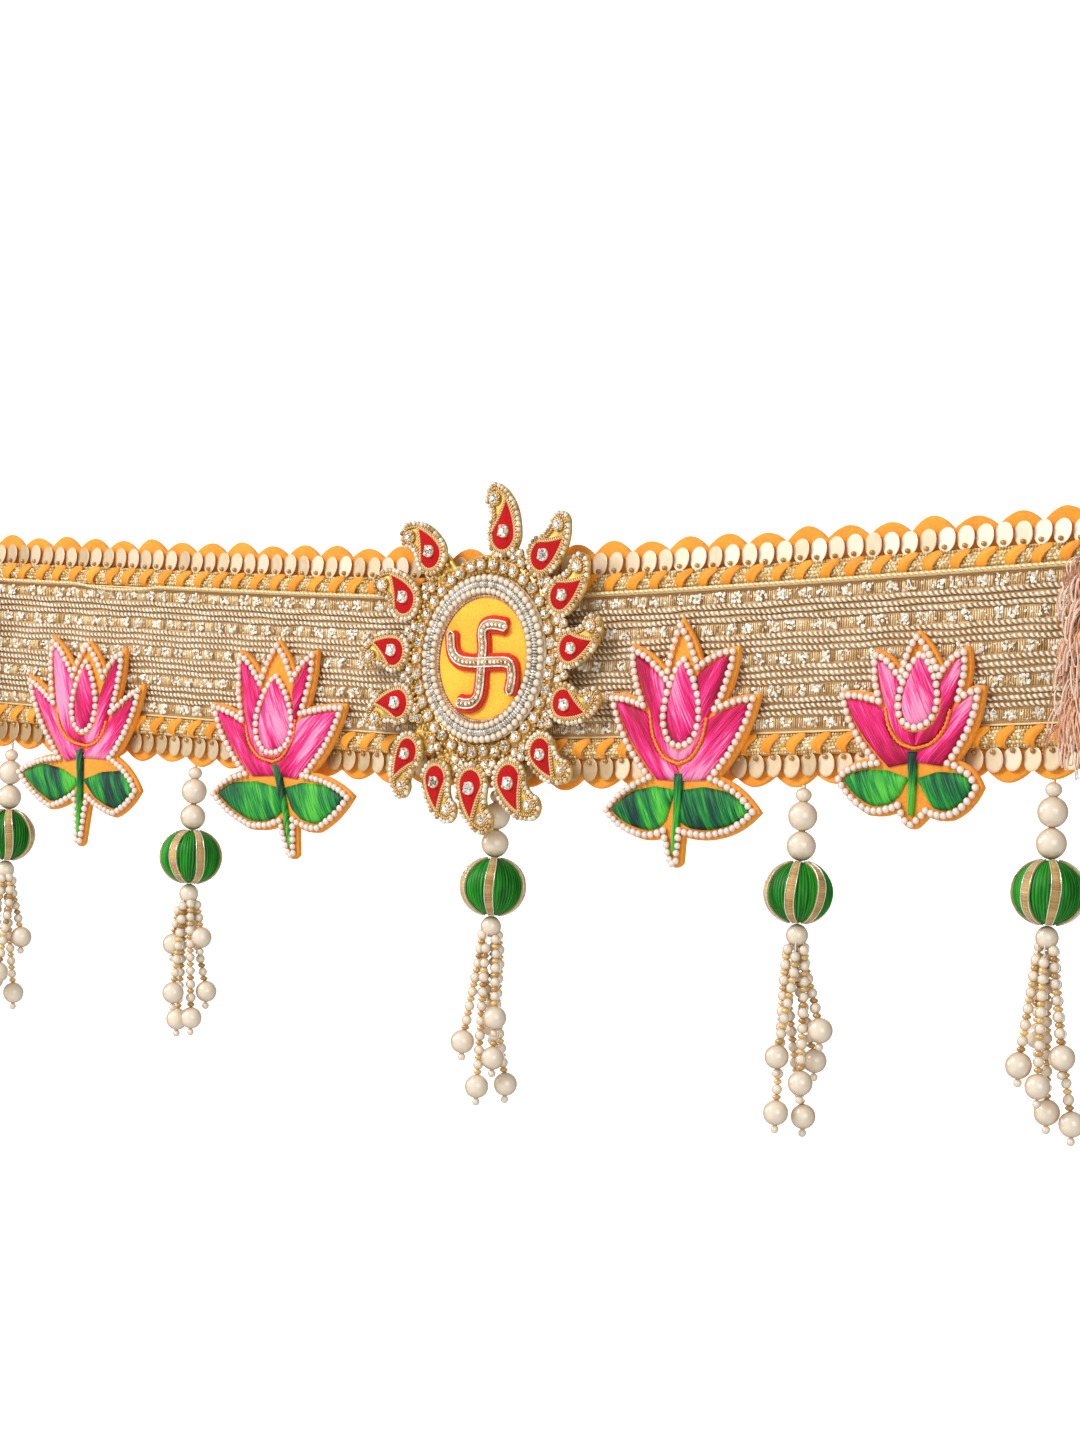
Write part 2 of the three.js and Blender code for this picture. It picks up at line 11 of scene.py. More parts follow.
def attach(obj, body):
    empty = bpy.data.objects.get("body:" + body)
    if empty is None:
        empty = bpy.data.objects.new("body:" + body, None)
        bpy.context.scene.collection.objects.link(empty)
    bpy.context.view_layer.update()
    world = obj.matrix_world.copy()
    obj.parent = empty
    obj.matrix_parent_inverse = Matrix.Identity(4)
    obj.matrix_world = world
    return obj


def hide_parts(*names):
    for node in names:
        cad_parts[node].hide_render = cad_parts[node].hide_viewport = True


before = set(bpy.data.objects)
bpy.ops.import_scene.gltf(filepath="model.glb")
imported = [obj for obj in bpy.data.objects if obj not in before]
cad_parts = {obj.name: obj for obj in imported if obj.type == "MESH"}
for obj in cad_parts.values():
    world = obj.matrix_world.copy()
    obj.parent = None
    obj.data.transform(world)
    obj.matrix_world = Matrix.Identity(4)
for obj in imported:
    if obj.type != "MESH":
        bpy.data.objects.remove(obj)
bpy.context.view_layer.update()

MM = 0.001
rng = np.random.default_rng(11)
draw = rng.uniform

# Named sizes shared with the solids.
GAP = 0.3
BAND_LEFT, BAND_RIGHT = -297, 266
SAG_SLOPE, SAG_ROUND = 0.045, 70
FELT_THICK = 2
CREST_PITCH = 17.1
TOP_CREST, BOTTOM_CREST = 4.8, 4.2
FELT_TOP, FELT_BOTTOM = -4.8, -80.5
SEQUIN_FACE, SEQUIN_HOLE, SEQUIN_PITCH = 8, 1.6, 7.4
BRAID_TALL, BRAID_THICK, LOOP_RISE, LOOP_PITCH = 6, 1.6, 0.9, 10.5
LACE_TOP, LACE_BOTTOM = -18.3, -67.3
CORD_PITCH, LADDER_TALL, LADDER_ROWS = 2.2, 3.9, 5
EDGE_CORD_D = 1.4
CORD_TWIST, ROPE_TWIST, CORD_STRANDS = 4.4, 2.0, 2
CLUSTER_PITCH, CLUSTER_REPEAT = 7, 18
LOOSE_X, LOOSE_HALF, LOOSE_DROP = -203, 24, 1.6
PATCH_THICK = 1.8
MEDALLION_X, MEDALLION_Z = 1, -40
BASE_R, LOBE_R = 36, 45
DISC_R, DISC_THICK = 21.6, 1.7
PAISLEY_R, PAISLEY_TIP_R = 8, 5
PAISLEY_BEND, PAISLEY_TIP = (1.2, 8.4), (-4.2, 12.8)
PEARL_D, CAP_TALL = 9.6, 4
BALL_D, BALL_TALL = 21.6, 19.6
HEAD_D, END_PEARL_D = 7.4, 8.2
FRINGE_X = {"left": -287, "right": 256}
FRINGE_TALL, FRINGE_WIDE, TAPE_THICK = 54, 8, 1.6

# The front of each layer, counted towards the viewer.
felt_front = -FELT_THICK
trim_back = felt_front - GAP
lace_front = trim_back - 1.0
braid_front = trim_back - BRAID_THICK
patch_back = braid_front - LOOP_RISE - GAP
patch_front = patch_back - PATCH_THICK
base_back = patch_back - EDGE_CORD_D - GAP
base_front = base_back - PATCH_THICK
tier = base_front - GAP


def sag(x):
    """How much higher the band runs at x than at its middle."""
    return SAG_SLOPE * (np.hypot(x, SAG_ROUND) - SAG_ROUND)


# Camera at the photograph's angle. The photograph is 1080 by 1440 pixels.
PHOTO_W, PHOTO_H = 1080, 1440
YAW, PITCH, ROLL = radians(44), radians(2), radians(2.9)
FOCAL_PX = 3942
SENSOR = 36
AIM = Vector((0, -11, -40)) * MM
AIM_PX = (480, 658.5)
AIM_DEPTH = 1.3593


def add_camera():
    """Adds the camera and returns the way it looks."""
    forward = Vector((-sin(YAW) * cos(PITCH), cos(YAW) * cos(PITCH), sin(PITCH)))
    level = Vector((cos(YAW), sin(YAW), 0))
    above = level.cross(forward)
    right = cos(ROLL) * level + sin(ROLL) * above
    up = cos(ROLL) * above - sin(ROLL) * level
    across = (AIM_PX[0] - PHOTO_W / 2) / FOCAL_PX
    down = (AIM_PX[1] - PHOTO_H / 2) / FOCAL_PX
    place = AIM - AIM_DEPTH * (forward + across * right - down * up)
    data = bpy.data.cameras.new("camera")
    data.sensor_width = SENSOR
    data.lens = FOCAL_PX * SENSOR / PHOTO_H
    data.clip_start, data.clip_end = 0.05, 50
    camera = bpy.data.objects.new("camera", data)
    camera.matrix_world = Matrix.Translation(place) @ Matrix((right, up, -forward)).transposed().to_4x4()
    bpy.context.scene.collection.objects.link(camera)
    bpy.context.scene.camera = camera
    return forward


view_forward = add_camera()


# Materials. Texture scales are per metre, colour stops are (position, red, green, blue).
class Finish:
    """A material under construction: a Principled shader with nodes that feed it."""

    def __init__(self, name, rough, metal=0.0, **sockets):
        self.material = bpy.data.materials.new(name)
        self.material.use_nodes = True
        self.tree = self.material.node_tree
        self.shader = self.tree.nodes["Principled BSDF"]
        for socket, value in dict(sockets, Roughness=rough, Metallic=metal).items():
            self.shader.inputs[socket.replace("_", " ")].default_value = value

    def node(self, kind, **values):
        """A new node, each value set on its socket of that name, or else on the node itself."""
        made = self.tree.nodes.new(kind)
        for key, value in values.items():
            socket = key.replace("_", " ")
            if socket in made.inputs:
                made.inputs[socket].default_value = value
            else:
                setattr(made, key, value)
        return made

    def link(self, out, into):
        self.tree.links.new(out, into)

    def mark(self, name, output):
        """A value or vector kept on the mesh's points."""
        return self.node("ShaderNodeAttribute", attribute_name=name).outputs[output]

    def noise(self, scale, detail, stretch=None, source=None):
        texture = self.node("ShaderNodeTexNoise", Scale=scale, Detail=detail)
        vector = source or self.node("ShaderNodeTexCoord").outputs["Object"]
        if stretch:
            mapping = self.node("ShaderNodeMapping", Scale=stretch)
            self.link(vector, mapping.inputs["Vector"])
            vector = mapping.outputs["Vector"]
        self.link(vector, texture.inputs["Vector"])
        return texture.outputs["Fac"]

    def mixed(self, a, b, share):
        """a and b blended, share of b."""
        mix = self.node("ShaderNodeMix", data_type="FLOAT")
        mix.inputs[0].default_value = share
        self.link(a, mix.inputs[2])
        self.link(b, mix.inputs[3])
        return mix.outputs[0]

    def toned(self, value, share):
        """The mesh's own tone with a share of another value."""
        return self.mixed(self.mark("tone", "Fac"), value, share)

    def widened(self, value):
        """A noise value stretched to the whole way from 0 to 1."""
        stretch = self.node("ShaderNodeMapRange", From_Min=0.34, From_Max=0.66)
        self.link(value, stretch.inputs["Value"])
        return stretch.outputs["Result"]

    def ramp(self, value, stops):
        ramp = self.node("ShaderNodeValToRGB")
        elements = ramp.color_ramp.elements
        while len(elements) < len(stops):
            elements.new(0.5)
        for element, (position, *colour) in zip(elements, stops):
            element.position = position
            element.color = (*colour, 1)
        self.link(value, ramp.inputs["Fac"])
        self.link(ramp.outputs["Color"], self.shader.inputs["Base Color"])

    def bump(self, height, depth, strength):
        bump = self.node("ShaderNodeBump", Strength=strength, Distance=depth * MM)
        self.link(height, bump.inputs["Height"])
        self.link(bump.outputs["Normal"], self.shader.inputs["Normal"])
        return self.material


def felt(name, dark, light, sheen=0.12):
    """Pressed felt: matt, mottled, with a fine fibre bump."""
    f = Finish(name, 0.95, Sheen_Weight=sheen, Sheen_Roughness=0.6, Specular_IOR_Level=0.2)
    fibres = f.noise(1400, 6)
    f.ramp(f.mixed(f.noise(70, 5), fibres, 0.65), [(0.38, *dark), (0.6, *light)])
    return f.bump(fibres, 0.25, 0.7)


def metal_yarn(name, stops, rough=0.4, metal=0.6, grain=1500, share=0.35, depth=0.12):
    """Metallic yarn, braid or foil: tone from the points, broken by fine glitter."""
    f = Finish(name, rough, metal)
    glitter = f.noise(grain, 2)
    f.ramp(f.toned(glitter, share), stops)
    return f.bump(glitter, depth, 0.8)


def twisted(name, stops, rough, metal, depth):
    """Twisted cord: slanting strands from the mark "thread", whose x counts their turns. Their stripes also
    set the colour: painted shade in the grooves between strands, painted highlight along them.
    """
    f = Finish(name, rough, metal)
    strands = f.node("ShaderNodeTexWave", bands_direction="X", Scale=pi / 10)
    f.link(f.mark("thread", "Vector"), strands.inputs["Vector"])
    # Painted shade and highlight: the strand stripes make the colour dark between strands and light along
    # them.
    f.ramp(f.mixed(f.toned(f.noise(1300, 2), 0.3), strands.outputs["Fac"], 0.58), stops)
    return f.bump(strands.outputs["Fac"], depth, 1.0)


def stitch(name, stops, threads=2.2, rough=0.5):
    """Satin stitch: fine threads along the mark "thread", in lighter and darker bands."""
    f = Finish(name, rough, Specular_IOR_Level=0.3)
    thread = f.mark("thread", "Vector")
    lines = f.widened(f.noise(1, 3, (threads, 0.1, 1), thread))
    bands = f.widened(f.noise(1, 1, (0.24, 0.02, 1), thread))
    f.ramp(f.mixed(f.toned(bands, 0.4), lines, 0.3), stops)
    return f.bump(lines, 0.3, 0.7)


def pearly(name, rim, face):
    """Pearl under a clear coat: the colour runs from a light face, painted light, to a dark warm rim, painted
    shade.
    """
    f = Finish(name, 0.18, Coat_Weight=1.0, Coat_Roughness=0.04, Specular_IOR_Level=0.7)
    # Painted light and shade: the facing value turns the colour from the face colour to the dark rim colour
    # as the surface turns away from the viewer.
    edge = f.node("ShaderNodeLayerWeight", Blend=0.5).outputs["Facing"]
    middle = [(a + 2 * b) / 3 for a, b in zip(rim, face)]
    shade = f.mixed(edge, f.toned(f.noise(400, 2), 0.25), 0.15)
    f.ramp(shade, [(0.1, *face), (0.38, *middle), (0.72, *rim)])
    return f.bump(f.noise(500, 2), 0.02, 0.2)


def glossy(name, stops, rough, metal, coat=0.0, grain=400, share=0.25):
    """Sequin, bead or stone: smooth, with a change of colour from one to the next and within each. In the
    stones and border beads this colour also holds painted glints and painted dark reflections.
    """
    f = Finish(name, rough, metal, Coat_Weight=coat, Coat_Roughness=0.06)
    cloud = f.noise(grain, 2)
    f.ramp(f.toned(cloud, share), stops)
    return f.bump(cloud, 0.02, 0.3)


ORANGE_FELT = felt("orange_felt", (0.88, 0.28, 0.02), (1.0, 0.41, 0.045))
YELLOW_FELT = felt("yellow_felt", (0.94, 0.4, 0.03), (1.0, 0.63, 0.06))
RED_FELT = felt("red_felt", (0.38, 0.002, 0.004), (0.58, 0.006, 0.01), 0.02)
CROSS_FELT = felt("cross_red_felt", (0.6, 0.02, 0.008), (0.8, 0.05, 0.016), 0.05)

LACE = metal_yarn("lace_ground", [(0.2, 0.38, 0.2, 0.07), (0.8, 0.8, 0.54, 0.26)], 0.5, 0.15)
LADDER = metal_yarn("lace_ladder", [(0.15, 0.42, 0.22, 0.07), (0.5, 0.9, 0.65, 0.32), (0.85, 1.0, 0.93, 0.7)],
                    0.36, 0.15)
GLITTER = metal_yarn("glitter_foil", [(0.2, 0.9, 0.76, 0.5), (0.55, 1.0, 0.98, 0.9)],
                     0.22, 0.2, 2500, 0.3, 0.15)
BRAID = metal_yarn("gold_braid", [(0.22, 0.44, 0.22, 0.05), (0.45, 0.86, 0.6, 0.24), (0.72, 1.0, 0.95, 0.72)],
                   0.3, 0.2, 2200, 0.45, 0.15)
FOIL = metal_yarn("gold_foil", [(0.3, 0.46, 0.26, 0.035), (0.7, 0.92, 0.64, 0.15)], 0.3, 0.5, 420, 0.8, 0.35)
FRINGE = metal_yarn("fringe_thread", [(0.15, 0.42, 0.15, 0.05), (0.42, 0.82, 0.44, 0.24),
                                      (0.62, 0.92, 0.58, 0.42), (0.85, 1.0, 0.88, 0.74)], 0.45, 0.05)

# The twisted cords' colours run from painted shade in their grooves to painted highlight on their strands.
LACE_CORD = twisted("lace_cord", [(0.22, 0.34, 0.14, 0.035), (0.38, 0.82, 0.5, 0.22),
                                  (0.52, 1.0, 0.82, 0.52), (0.7, 1.0, 0.97, 0.86)], 0.38, 0.1, 0.45)
EDGE_GOLD = twisted("edge_cord_gold", [(0.15, 0.62, 0.38, 0.12), (0.7, 1.0, 0.84, 0.5)], 0.36, 0.15, 0.15)
ROPE = twisted("gold_rope", [(0.25, 0.24, 0.09, 0.015), (0.45, 0.68, 0.34, 0.09), (0.72, 0.97, 0.68, 0.3)],
               0.42, 0.1, 0.2)

SEQUIN = glossy("sequin", [(0.15, 0.46, 0.31, 0.14), (0.45, 0.74, 0.57, 0.36), (0.8, 0.88, 0.77, 0.6)],
                0.36, 0.2, 0.05)
GOLD_BEAD = glossy("gold_bead", [(0.2, 0.44, 0.22, 0.05), (0.8, 0.97, 0.68, 0.3)], 0.22, 0.35)
# Border beads: a mix of gold and silver beads, their darkest brown tones painted shade and their whitest
# tones painted glints.
BORDER_BEAD = glossy("border_bead", [(0.2, 0.22, 0.1, 0.03), (0.42, 0.74, 0.5, 0.24),
                                     (0.64, 1.0, 0.95, 0.84)], 0.18, 0.35, grain=900, share=0.45)
ROSE_BEAD = glossy("rose_bead", [(0.2, 0.5, 0.26, 0.15), (0.8, 0.9, 0.6, 0.4)], 0.25, 0.4)
SILVER = glossy("silver_bead", [(0.2, 0.38, 0.33, 0.26), (0.8, 0.98, 0.95, 0.9)],
                0.18, 0.5, grain=900, share=0.4)
# Cut stones: fine noise breaks each stone into near-black and white patches, painted reflections and glints
# of its facets; the warm stones' brown is their own colour.
WARM_STONE = glossy("warm_rhinestone", [(0.38, 0.2, 0.1, 0.05), (0.5, 0.62, 0.42, 0.28),
                                        (0.6, 1.0, 0.93, 0.84)], 0.08, 0.45, grain=1900, share=0.7)
STONE = glossy("rhinestone", [(0.4, 0.1, 0.09, 0.08), (0.49, 0.55, 0.53, 0.5), (0.57, 1.0, 1.0, 1.0)],
               0.05, 0.55, grain=1700, share=0.85)
# Pearls: the rim colour first, a painted shade, then the face colour, a painted light.
PEARL = pearly("pearl", (0.44, 0.26, 0.11), (0.98, 0.86, 0.69))
PINK_PEARL = pearly("border_pearl", (0.66, 0.4, 0.29), (1.0, 0.88, 0.78))

PINK = stitch("pink_stitch", [(0.27, 0.42, 0.0, 0.05), (0.4, 0.76, 0.0, 0.12),
                              (0.54, 0.9, 0.03, 0.27), (0.7, 1.0, 0.34, 0.58)])
GREEN = stitch("green_stitch", [(0.27, 0.0, 0.03, 0.026), (0.4, 0.0, 0.13, 0.04),
                                (0.54, 0.01, 0.32, 0.03), (0.7, 0.1, 0.58, 0.05)])
CHAIN = stitch("orange_chain", [(0.2, 0.9, 0.24, 0.02), (0.8, 1.0, 0.4, 0.06)])
RIBBON = stitch("orange_ribbon", [(0.2, 0.86, 0.26, 0.01), (0.8, 1.0, 0.42, 0.035)], 1.2)
WOUND = stitch("wound_green_thread", [(0.22, 0.0, 0.06, 0.003), (0.5, 0.003, 0.19, 0.006),
                                      (0.75, 0.02, 0.4, 0.014)], 1.0)
GOTA = stitch("gold_ribbon", [(0.2, 0.34, 0.17, 0.035), (0.8, 0.84, 0.56, 0.22)], 3, 0.35)


# Points and paths.
def xyz(x, y, z):
    """Points from their coordinates, each an array or one number."""
    return np.stack(np.broadcast_arrays(x, y, z), -1)


def on_band(x, y, z):
    """Points that follow the band's sag."""
    return xyz(x, y, z + sag(x))


def upright(path, y):
    """A flat [x, z] path stood up at a depth y."""
    path = np.asarray(path, float)
    return xyz(path[:, 0], y, path[:, 1])


def circle(count):
    """Angles at even steps all the way round."""
    return 2 * pi * np.arange(count) / count


def wheel(radius, turn, y, x=0.0, z=0.0):
    """Points on a circle that faces the viewer."""
    return xyz(x + radius * np.cos(turn), y, z + radius * np.sin(turn))


def band_x(step):
    return np.linspace(BAND_LEFT, BAND_RIGHT, round((BAND_RIGHT - BAND_LEFT) / step) + 1)


def unit(vectors):
    return vectors / np.maximum(np.linalg.norm(vectors, axis=-1, keepdims=True), 1e-9)


def left_of(way):
    """The flat direction to the left of each flat way."""
    return np.stack([-way[:, 1], way[:, 0]], -1)


def lengths_along(path):
    """The length of a path up to each of its points."""
    steps = np.linalg.norm(np.diff(path, axis=0), axis=1)
    return np.concatenate([[0], np.cumsum(steps)])


def at_lengths(path, at):
    """The places on a path at given lengths along it."""
    lengths = lengths_along(path)
    return np.stack([np.interp(at, lengths, column) for column in np.transpose(path)], -1)


def spread(path, pitch, closed=False):
    """Places at even steps of about the pitch along a path, with the way along at each."""
    path = np.asarray(path, float)
    if closed:
        path = np.vstack([path, path[:1]])
    length = lengths_along(path)[-1]
    count = max(1, round(length / pitch))
    at = np.linspace(0, length, count + 1)
    if closed:
        at = at[:-1]
    ahead, behind = np.clip([at + 0.05, at - 0.05], 0, length)
    return at_lengths(path, at), unit(at_lengths(path, ahead) - at_lengths(path, behind))


def resample(path, count):
    path = np.asarray(path, float)
    return at_lengths(path, np.linspace(0, lengths_along(path)[-1], count))


def smooth_path(points, per=8):
    """A curve through points, with a number of steps from each to the next."""
    points = np.asarray(points, float)
    around = np.vstack([2 * points[:1] - points[1:2], points, 2 * points[-1:] - points[-2:-1]])
    t = np.linspace(0, 1, per, endpoint=False)[:, None]
    out = []
    for a, b, c, d in zip(around, around[1:], around[2:], around[3:]):
        out.append(0.5 * (2 * b + (c - a) * t + (2 * a - 5 * b + 4 * c - d) * t**2
                          + (3 * b - a - 3 * c + d) * t**3))
    return np.vstack([*out, points[-1:]])


# Forms. Each is (points, faces), the faces a list of arrays with 3 or 4 corners, or one cap.
TUBE_SIDES = 6


def ball(segments, rings):
    """A unit ball."""
    tilt = pi * np.arange(1, rings)[:, None] / rings
    turn = circle(segments)
    belt = xyz(np.sin(tilt) * np.cos(turn), np.sin(tilt) * np.sin(turn), np.cos(tilt))
    points = np.vstack([(0, 0, 1), belt.reshape(-1, 3), (0, 0, -1)])
    here = np.arange(segments)
    after = (here + 1) % segments
    last = len(points) - 1
    start = last - segments
    top = xyz(0, 1 + here, 1 + after)
    foot = xyz(last, start + after, start + here)
    low = 1 + segments * np.arange(rings - 2)[:, None]
    sides = np.stack([low + here, low + segments + here, low + segments + after, low + after], -1)
    return points, [top, foot, sides.reshape(-1, 4)]


def loft(rings, closed=False):
    """Rings of the same number of points, joined in a row, capped unless the row closes."""
    rings = np.asarray(rings, float)
    count, sides = rings.shape[:2]
    k = np.arange(sides)
    rows = np.arange(count if closed else count - 1)[:, None]
    a = rows * sides
    b = ((rows + 1) % count) * sides
    after = (k + 1) % sides
    faces = [np.stack([a + k, a + after, b + after, b + k], -1).reshape(-1, 4)]
    if not closed:
        faces += [k[::-1][None], ((count - 1) * sides + k)[None]]
    return rings.reshape(-1, 3), faces


def along_band(x, section, top=0):
    """A [y, z] section carried along the band."""
    return loft(np.stack([on_band(x, y, top + z) for y, z in section], 1))


def frames(path, closed, side):
    """Two ways across a path, the second towards side."""
    if closed:
        along = np.roll(path, -1, 0) - np.roll(path, 1, 0)
    else:
        along = np.gradient(path, axis=0)
    along = unit(along)
    first = unit(np.cross(along, side))
    return first[:, None], np.cross(first, along)[:, None]


def tube(path, radius, sides=TUBE_SIDES, closed=False, flat=1.0, side=(0, 1, 0)):
    """A tube along a path, its section flattened towards side."""
    path = np.asarray(path, float)
    first, second = frames(path, closed, side)
    angles = (pi / 2 + circle(sides))[:, None]
    radius = np.broadcast_to(radius, len(path))[:, None, None]
    return loft(path[:, None] + radius * (np.cos(angles) * first + flat * np.sin(angles) * second), closed)


# A ribbon's section with eased edges, in half widths and thicknesses.
RIBBON_SECTION = np.array([(-1, 0.25), (-0.85, 0.5), (0, 0.62), (0.85, 0.5), (1, 0.25), (1, -0.4), (0, -0.5),
                           (-1, -0.4)])


def strip(path, wide, thick):
    """A flat ribbon along a path, wide across it, its face to the viewer."""
    path = np.asarray(path, float)
    first, second = frames(path, False, (0, 1, 0))
    half = np.broadcast_to(wide, len(path))[:, None, None] / 2
    u, v = RIBBON_SECTION[:, :1], RIBBON_SECTION[:, 1:]
    return loft(path[:, None] + half * u * first - thick * v * second)


def turns_along(path, period):
    """Thread marks of a twisted cord: its strands counted along and round a tube."""
    turns = lengths_along(path)[:, None] / period + np.arange(TUBE_SIDES) / TUBE_SIDES
    return xyz((draw(0, 1) + CORD_STRANDS * turns).ravel(), 0, 0)


def lathe(profile, segments, x=0.0, z=0.0):
    """A closed [radius, y] profile turned about the way to the viewer."""
    radius, y = np.transpose(profile)
    return loft(wheel(radius, circle(segments)[:, None], y, x, z), True)


def gem(sides=8):
    """A cut stone facing the viewer: table, crown facets and a short foot. Radius 1, rise 0.7."""
    half = pi / sides
    levels = ((0.5, -0.7, half), (0.86, -0.4, 0), (1, -0.1, half), (0.9, 0.25, half))
    return loft([wheel(radius, circle(sides) + shift, y) for radius, y, shift in levels])


BALL = ball(8, 5)
SEED = ball(6, 4)
KNOT = ball(5, 3)
ROUND_BALL = ball(24, 16)
GEM = gem()


class Gather:
    """Collects closed forms into one mesh, with a tone and a thread mark on each point."""

    def __init__(self):
        self.points, self.tones, self.threads, self.faces = [], [], [], []
        self.count = 0

    def add(self, form, finish=0, tone=0.5, thread=None):
        points, faces = form
        self.points.append(points)
        self.tones.append(np.broadcast_to(tone, len(points)))
        self.threads.append(points if thread is None else thread)
        self.faces += [(group + self.count, finish) for group in faces]
        self.count += len(points)

    def stamp(self, form, places, size=1.0, turns=None, finish=0, tones=None):
        """The same form at many places. size is one number, one per place or three per place."""
        points, faces = form
        places = np.asarray(places, float).reshape(-1, 3)
        n = len(places)
        size = np.asarray(size, float)
        if size.ndim == 1 and len(size) == n and n != 3:
            size = size[:, None]
        grown = points[None] * np.broadcast_to(size, (n, 3))[:, None]
        if turns is not None:
            grown = np.einsum("nij,nkj->nki", turns, grown)
        grown = grown + places[:, None]
        if tones is None:
            tones = draw(0.15, 0.85, n)
        tones = np.repeat(np.broadcast_to(tones, n), len(points))
        shifts = (np.arange(n) * len(points))[:, None, None]
        moved = [(shifts + group[None]).reshape(-1, group.shape[1]) for group in faces]
        self.add((grown.reshape(-1, 3), moved), finish, tones)

    def piece(self, name, finishes, slot, replaces=(), smooth=True):
        """The mesh as a piece of the object, in metres, riding on the frame."""
        mesh = bpy.data.meshes.new(name)
        points = np.concatenate(self.points) * MM
        corners = np.concatenate([group.reshape(-1) for group, _ in self.faces])
        sizes = np.concatenate([np.full(len(group), group.shape[1]) for group, _ in self.faces])
        marks = np.concatenate([np.full(len(group), finish) for group, finish in self.faces])
        mesh.vertices.add(len(points))
        mesh.vertices.foreach_set("co", points.ravel())
        mesh.loops.add(len(corners))
        mesh.loops.foreach_set("vertex_index", corners.astype(np.int32))
        mesh.polygons.add(len(sizes))
        mesh.polygons.foreach_set("loop_start", (np.cumsum(sizes) - sizes).astype(np.int32))
        mesh.polygons.foreach_set("material_index", marks.astype(np.int32))
        mesh.update(calc_edges=True)
        mesh.polygons.foreach_set("use_smooth", np.full(len(sizes), smooth))
        tone = mesh.attributes.new("tone", "FLOAT", "POINT")
        tone.data.foreach_set("value", np.concatenate(self.tones).astype(np.float32))
        thread = mesh.attributes.new("thread", "FLOAT_VECTOR", "POINT")
        thread.data.foreach_set("vector", np.concatenate(self.threads).astype(np.float32).ravel())
        for finish in finishes:
            mesh.materials.append(finish)
        piece = bpy.data.objects.new(name, mesh)
        bpy.context.scene.collection.objects.link(piece)
        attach(piece, "root")
        if replaces:
            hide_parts(*replaces)
        return piece


def turns_about(angles, axis):
    """Rotation matrices about x, y or z."""
    c, s = np.cos(angles), np.sin(angles)
    o, i = np.zeros_like(c), np.ones_like(c)
    rows = {
        "x": [[i, o, o], [o, c, -s], [o, s, c]],
        "y": [[c, o, s], [o, i, o], [-s, o, c]],
        "z": [[c, -s, o], [s, c, o], [o, o, i]],
    }[axis]
    return np.moveaxis(np.array(rows), -1, 0)


# The felt band.
def crest(x, rise, phase):
    """Height of the scalloped edge past its valleys."""
    number = np.round(x / CREST_PITCH)
    share = x / CREST_PITCH - number + 0.5
    tall = rise * (0.88 + 0.12 * np.cos(2.3 * number + phase))
    ends = np.clip(np.minimum(x - BAND_LEFT, BAND_RIGHT - x) / 3, 0, 1)
    return tall * np.sin(np.pi * share) ** 0.85 * ends, number


def felt_band():
    """The scalloped band with rounded edges, its scallops curling a little to the viewer."""
    per_crest, ease, curl = 16, 0.7, 0.7
    first, last = ceil(BAND_LEFT * per_crest / CREST_PITCH), floor(BAND_RIGHT * per_crest / CREST_PITCH)
    x = np.arange(first, last + 1) * CREST_PITCH / per_crest
    x = np.concatenate([[BAND_LEFT], x[(x > BAND_LEFT + 0.3) & (x < BAND_RIGHT - 0.3)], [BAND_RIGHT]])
    up, number = crest(x, TOP_CREST, 0)
    down, _ = crest(x, BOTTOM_CREST, 1.2)
    top_root, foot_root = FELT_TOP + sag(x), FELT_BOTTOM + sag(x)
    top, foot = top_root + up, foot_root - down
    back = [(0, ease, 0), (0.06, 0, 0), (0.3, 0, 0), (0.7, 0, 0), (0.94, 0, 0), (1, -ease, 0)]
    over = [(1, -0.3 * ease, -0.3 * ease), (1, 0, -ease), (1, 0, ease - FELT_THICK),
            (1, -0.3 * ease, 0.3 * ease - FELT_THICK)]
    front = [(share, rise, -FELT_THICK) for share, rise, _ in back[::-1]]
    under = [(0, -rise, y) for _, rise, y in over[::-1]]
    curl_top = curl * (0.5 + 0.5 * np.cos(1.7 * number))
    curl_foot = curl * (0.5 + 0.5 * np.sin(2.9 * number))
    rings = []
    for share, rise, y in back + over + front + under:
        z = foot + share * (top - foot) + rise
        past_top = np.clip((z - top_root) / TOP_CREST, 0, 1)
        past_foot = np.clip((foot_root - z) / BOTTOM_CREST, 0, 1)
        rings.append(xyz(x, y - curl_top * past_top**2 - curl_foot * past_foot**2, z))
    g = Gather()
    g.add(loft(np.stack(rings, 1)))
    band = g.piece("felt_band", [ORANGE_FELT], "orange_felt", ["felt"])


# The gold lace: rows of upright threads like ladders, with three twisted cords between each two.
ROW_CORDS = 3
ROW_PITCH = LADDER_TALL + ROW_CORDS * CORD_PITCH
FIRST_ROW = (LACE_TOP + LACE_BOTTOM + LADDER_TALL + (LADDER_ROWS - 1) * ROW_PITCH) / 2
BAR_PITCH = 0.95
# Flakes of foil in a cluster and between clusters: how many, how far they are strewn across and up,
# how far they stand out at least and beyond that, their sizes, and their tones.
CLUSTERED = (15, 2.2, 1.6, 0.6, 0.5, (0.42, 0.8), (0.35, 1))
STREWN = (5, 3, 1.5, 0.55, 0.3, (0.35, 0.6), (0, 0.6))


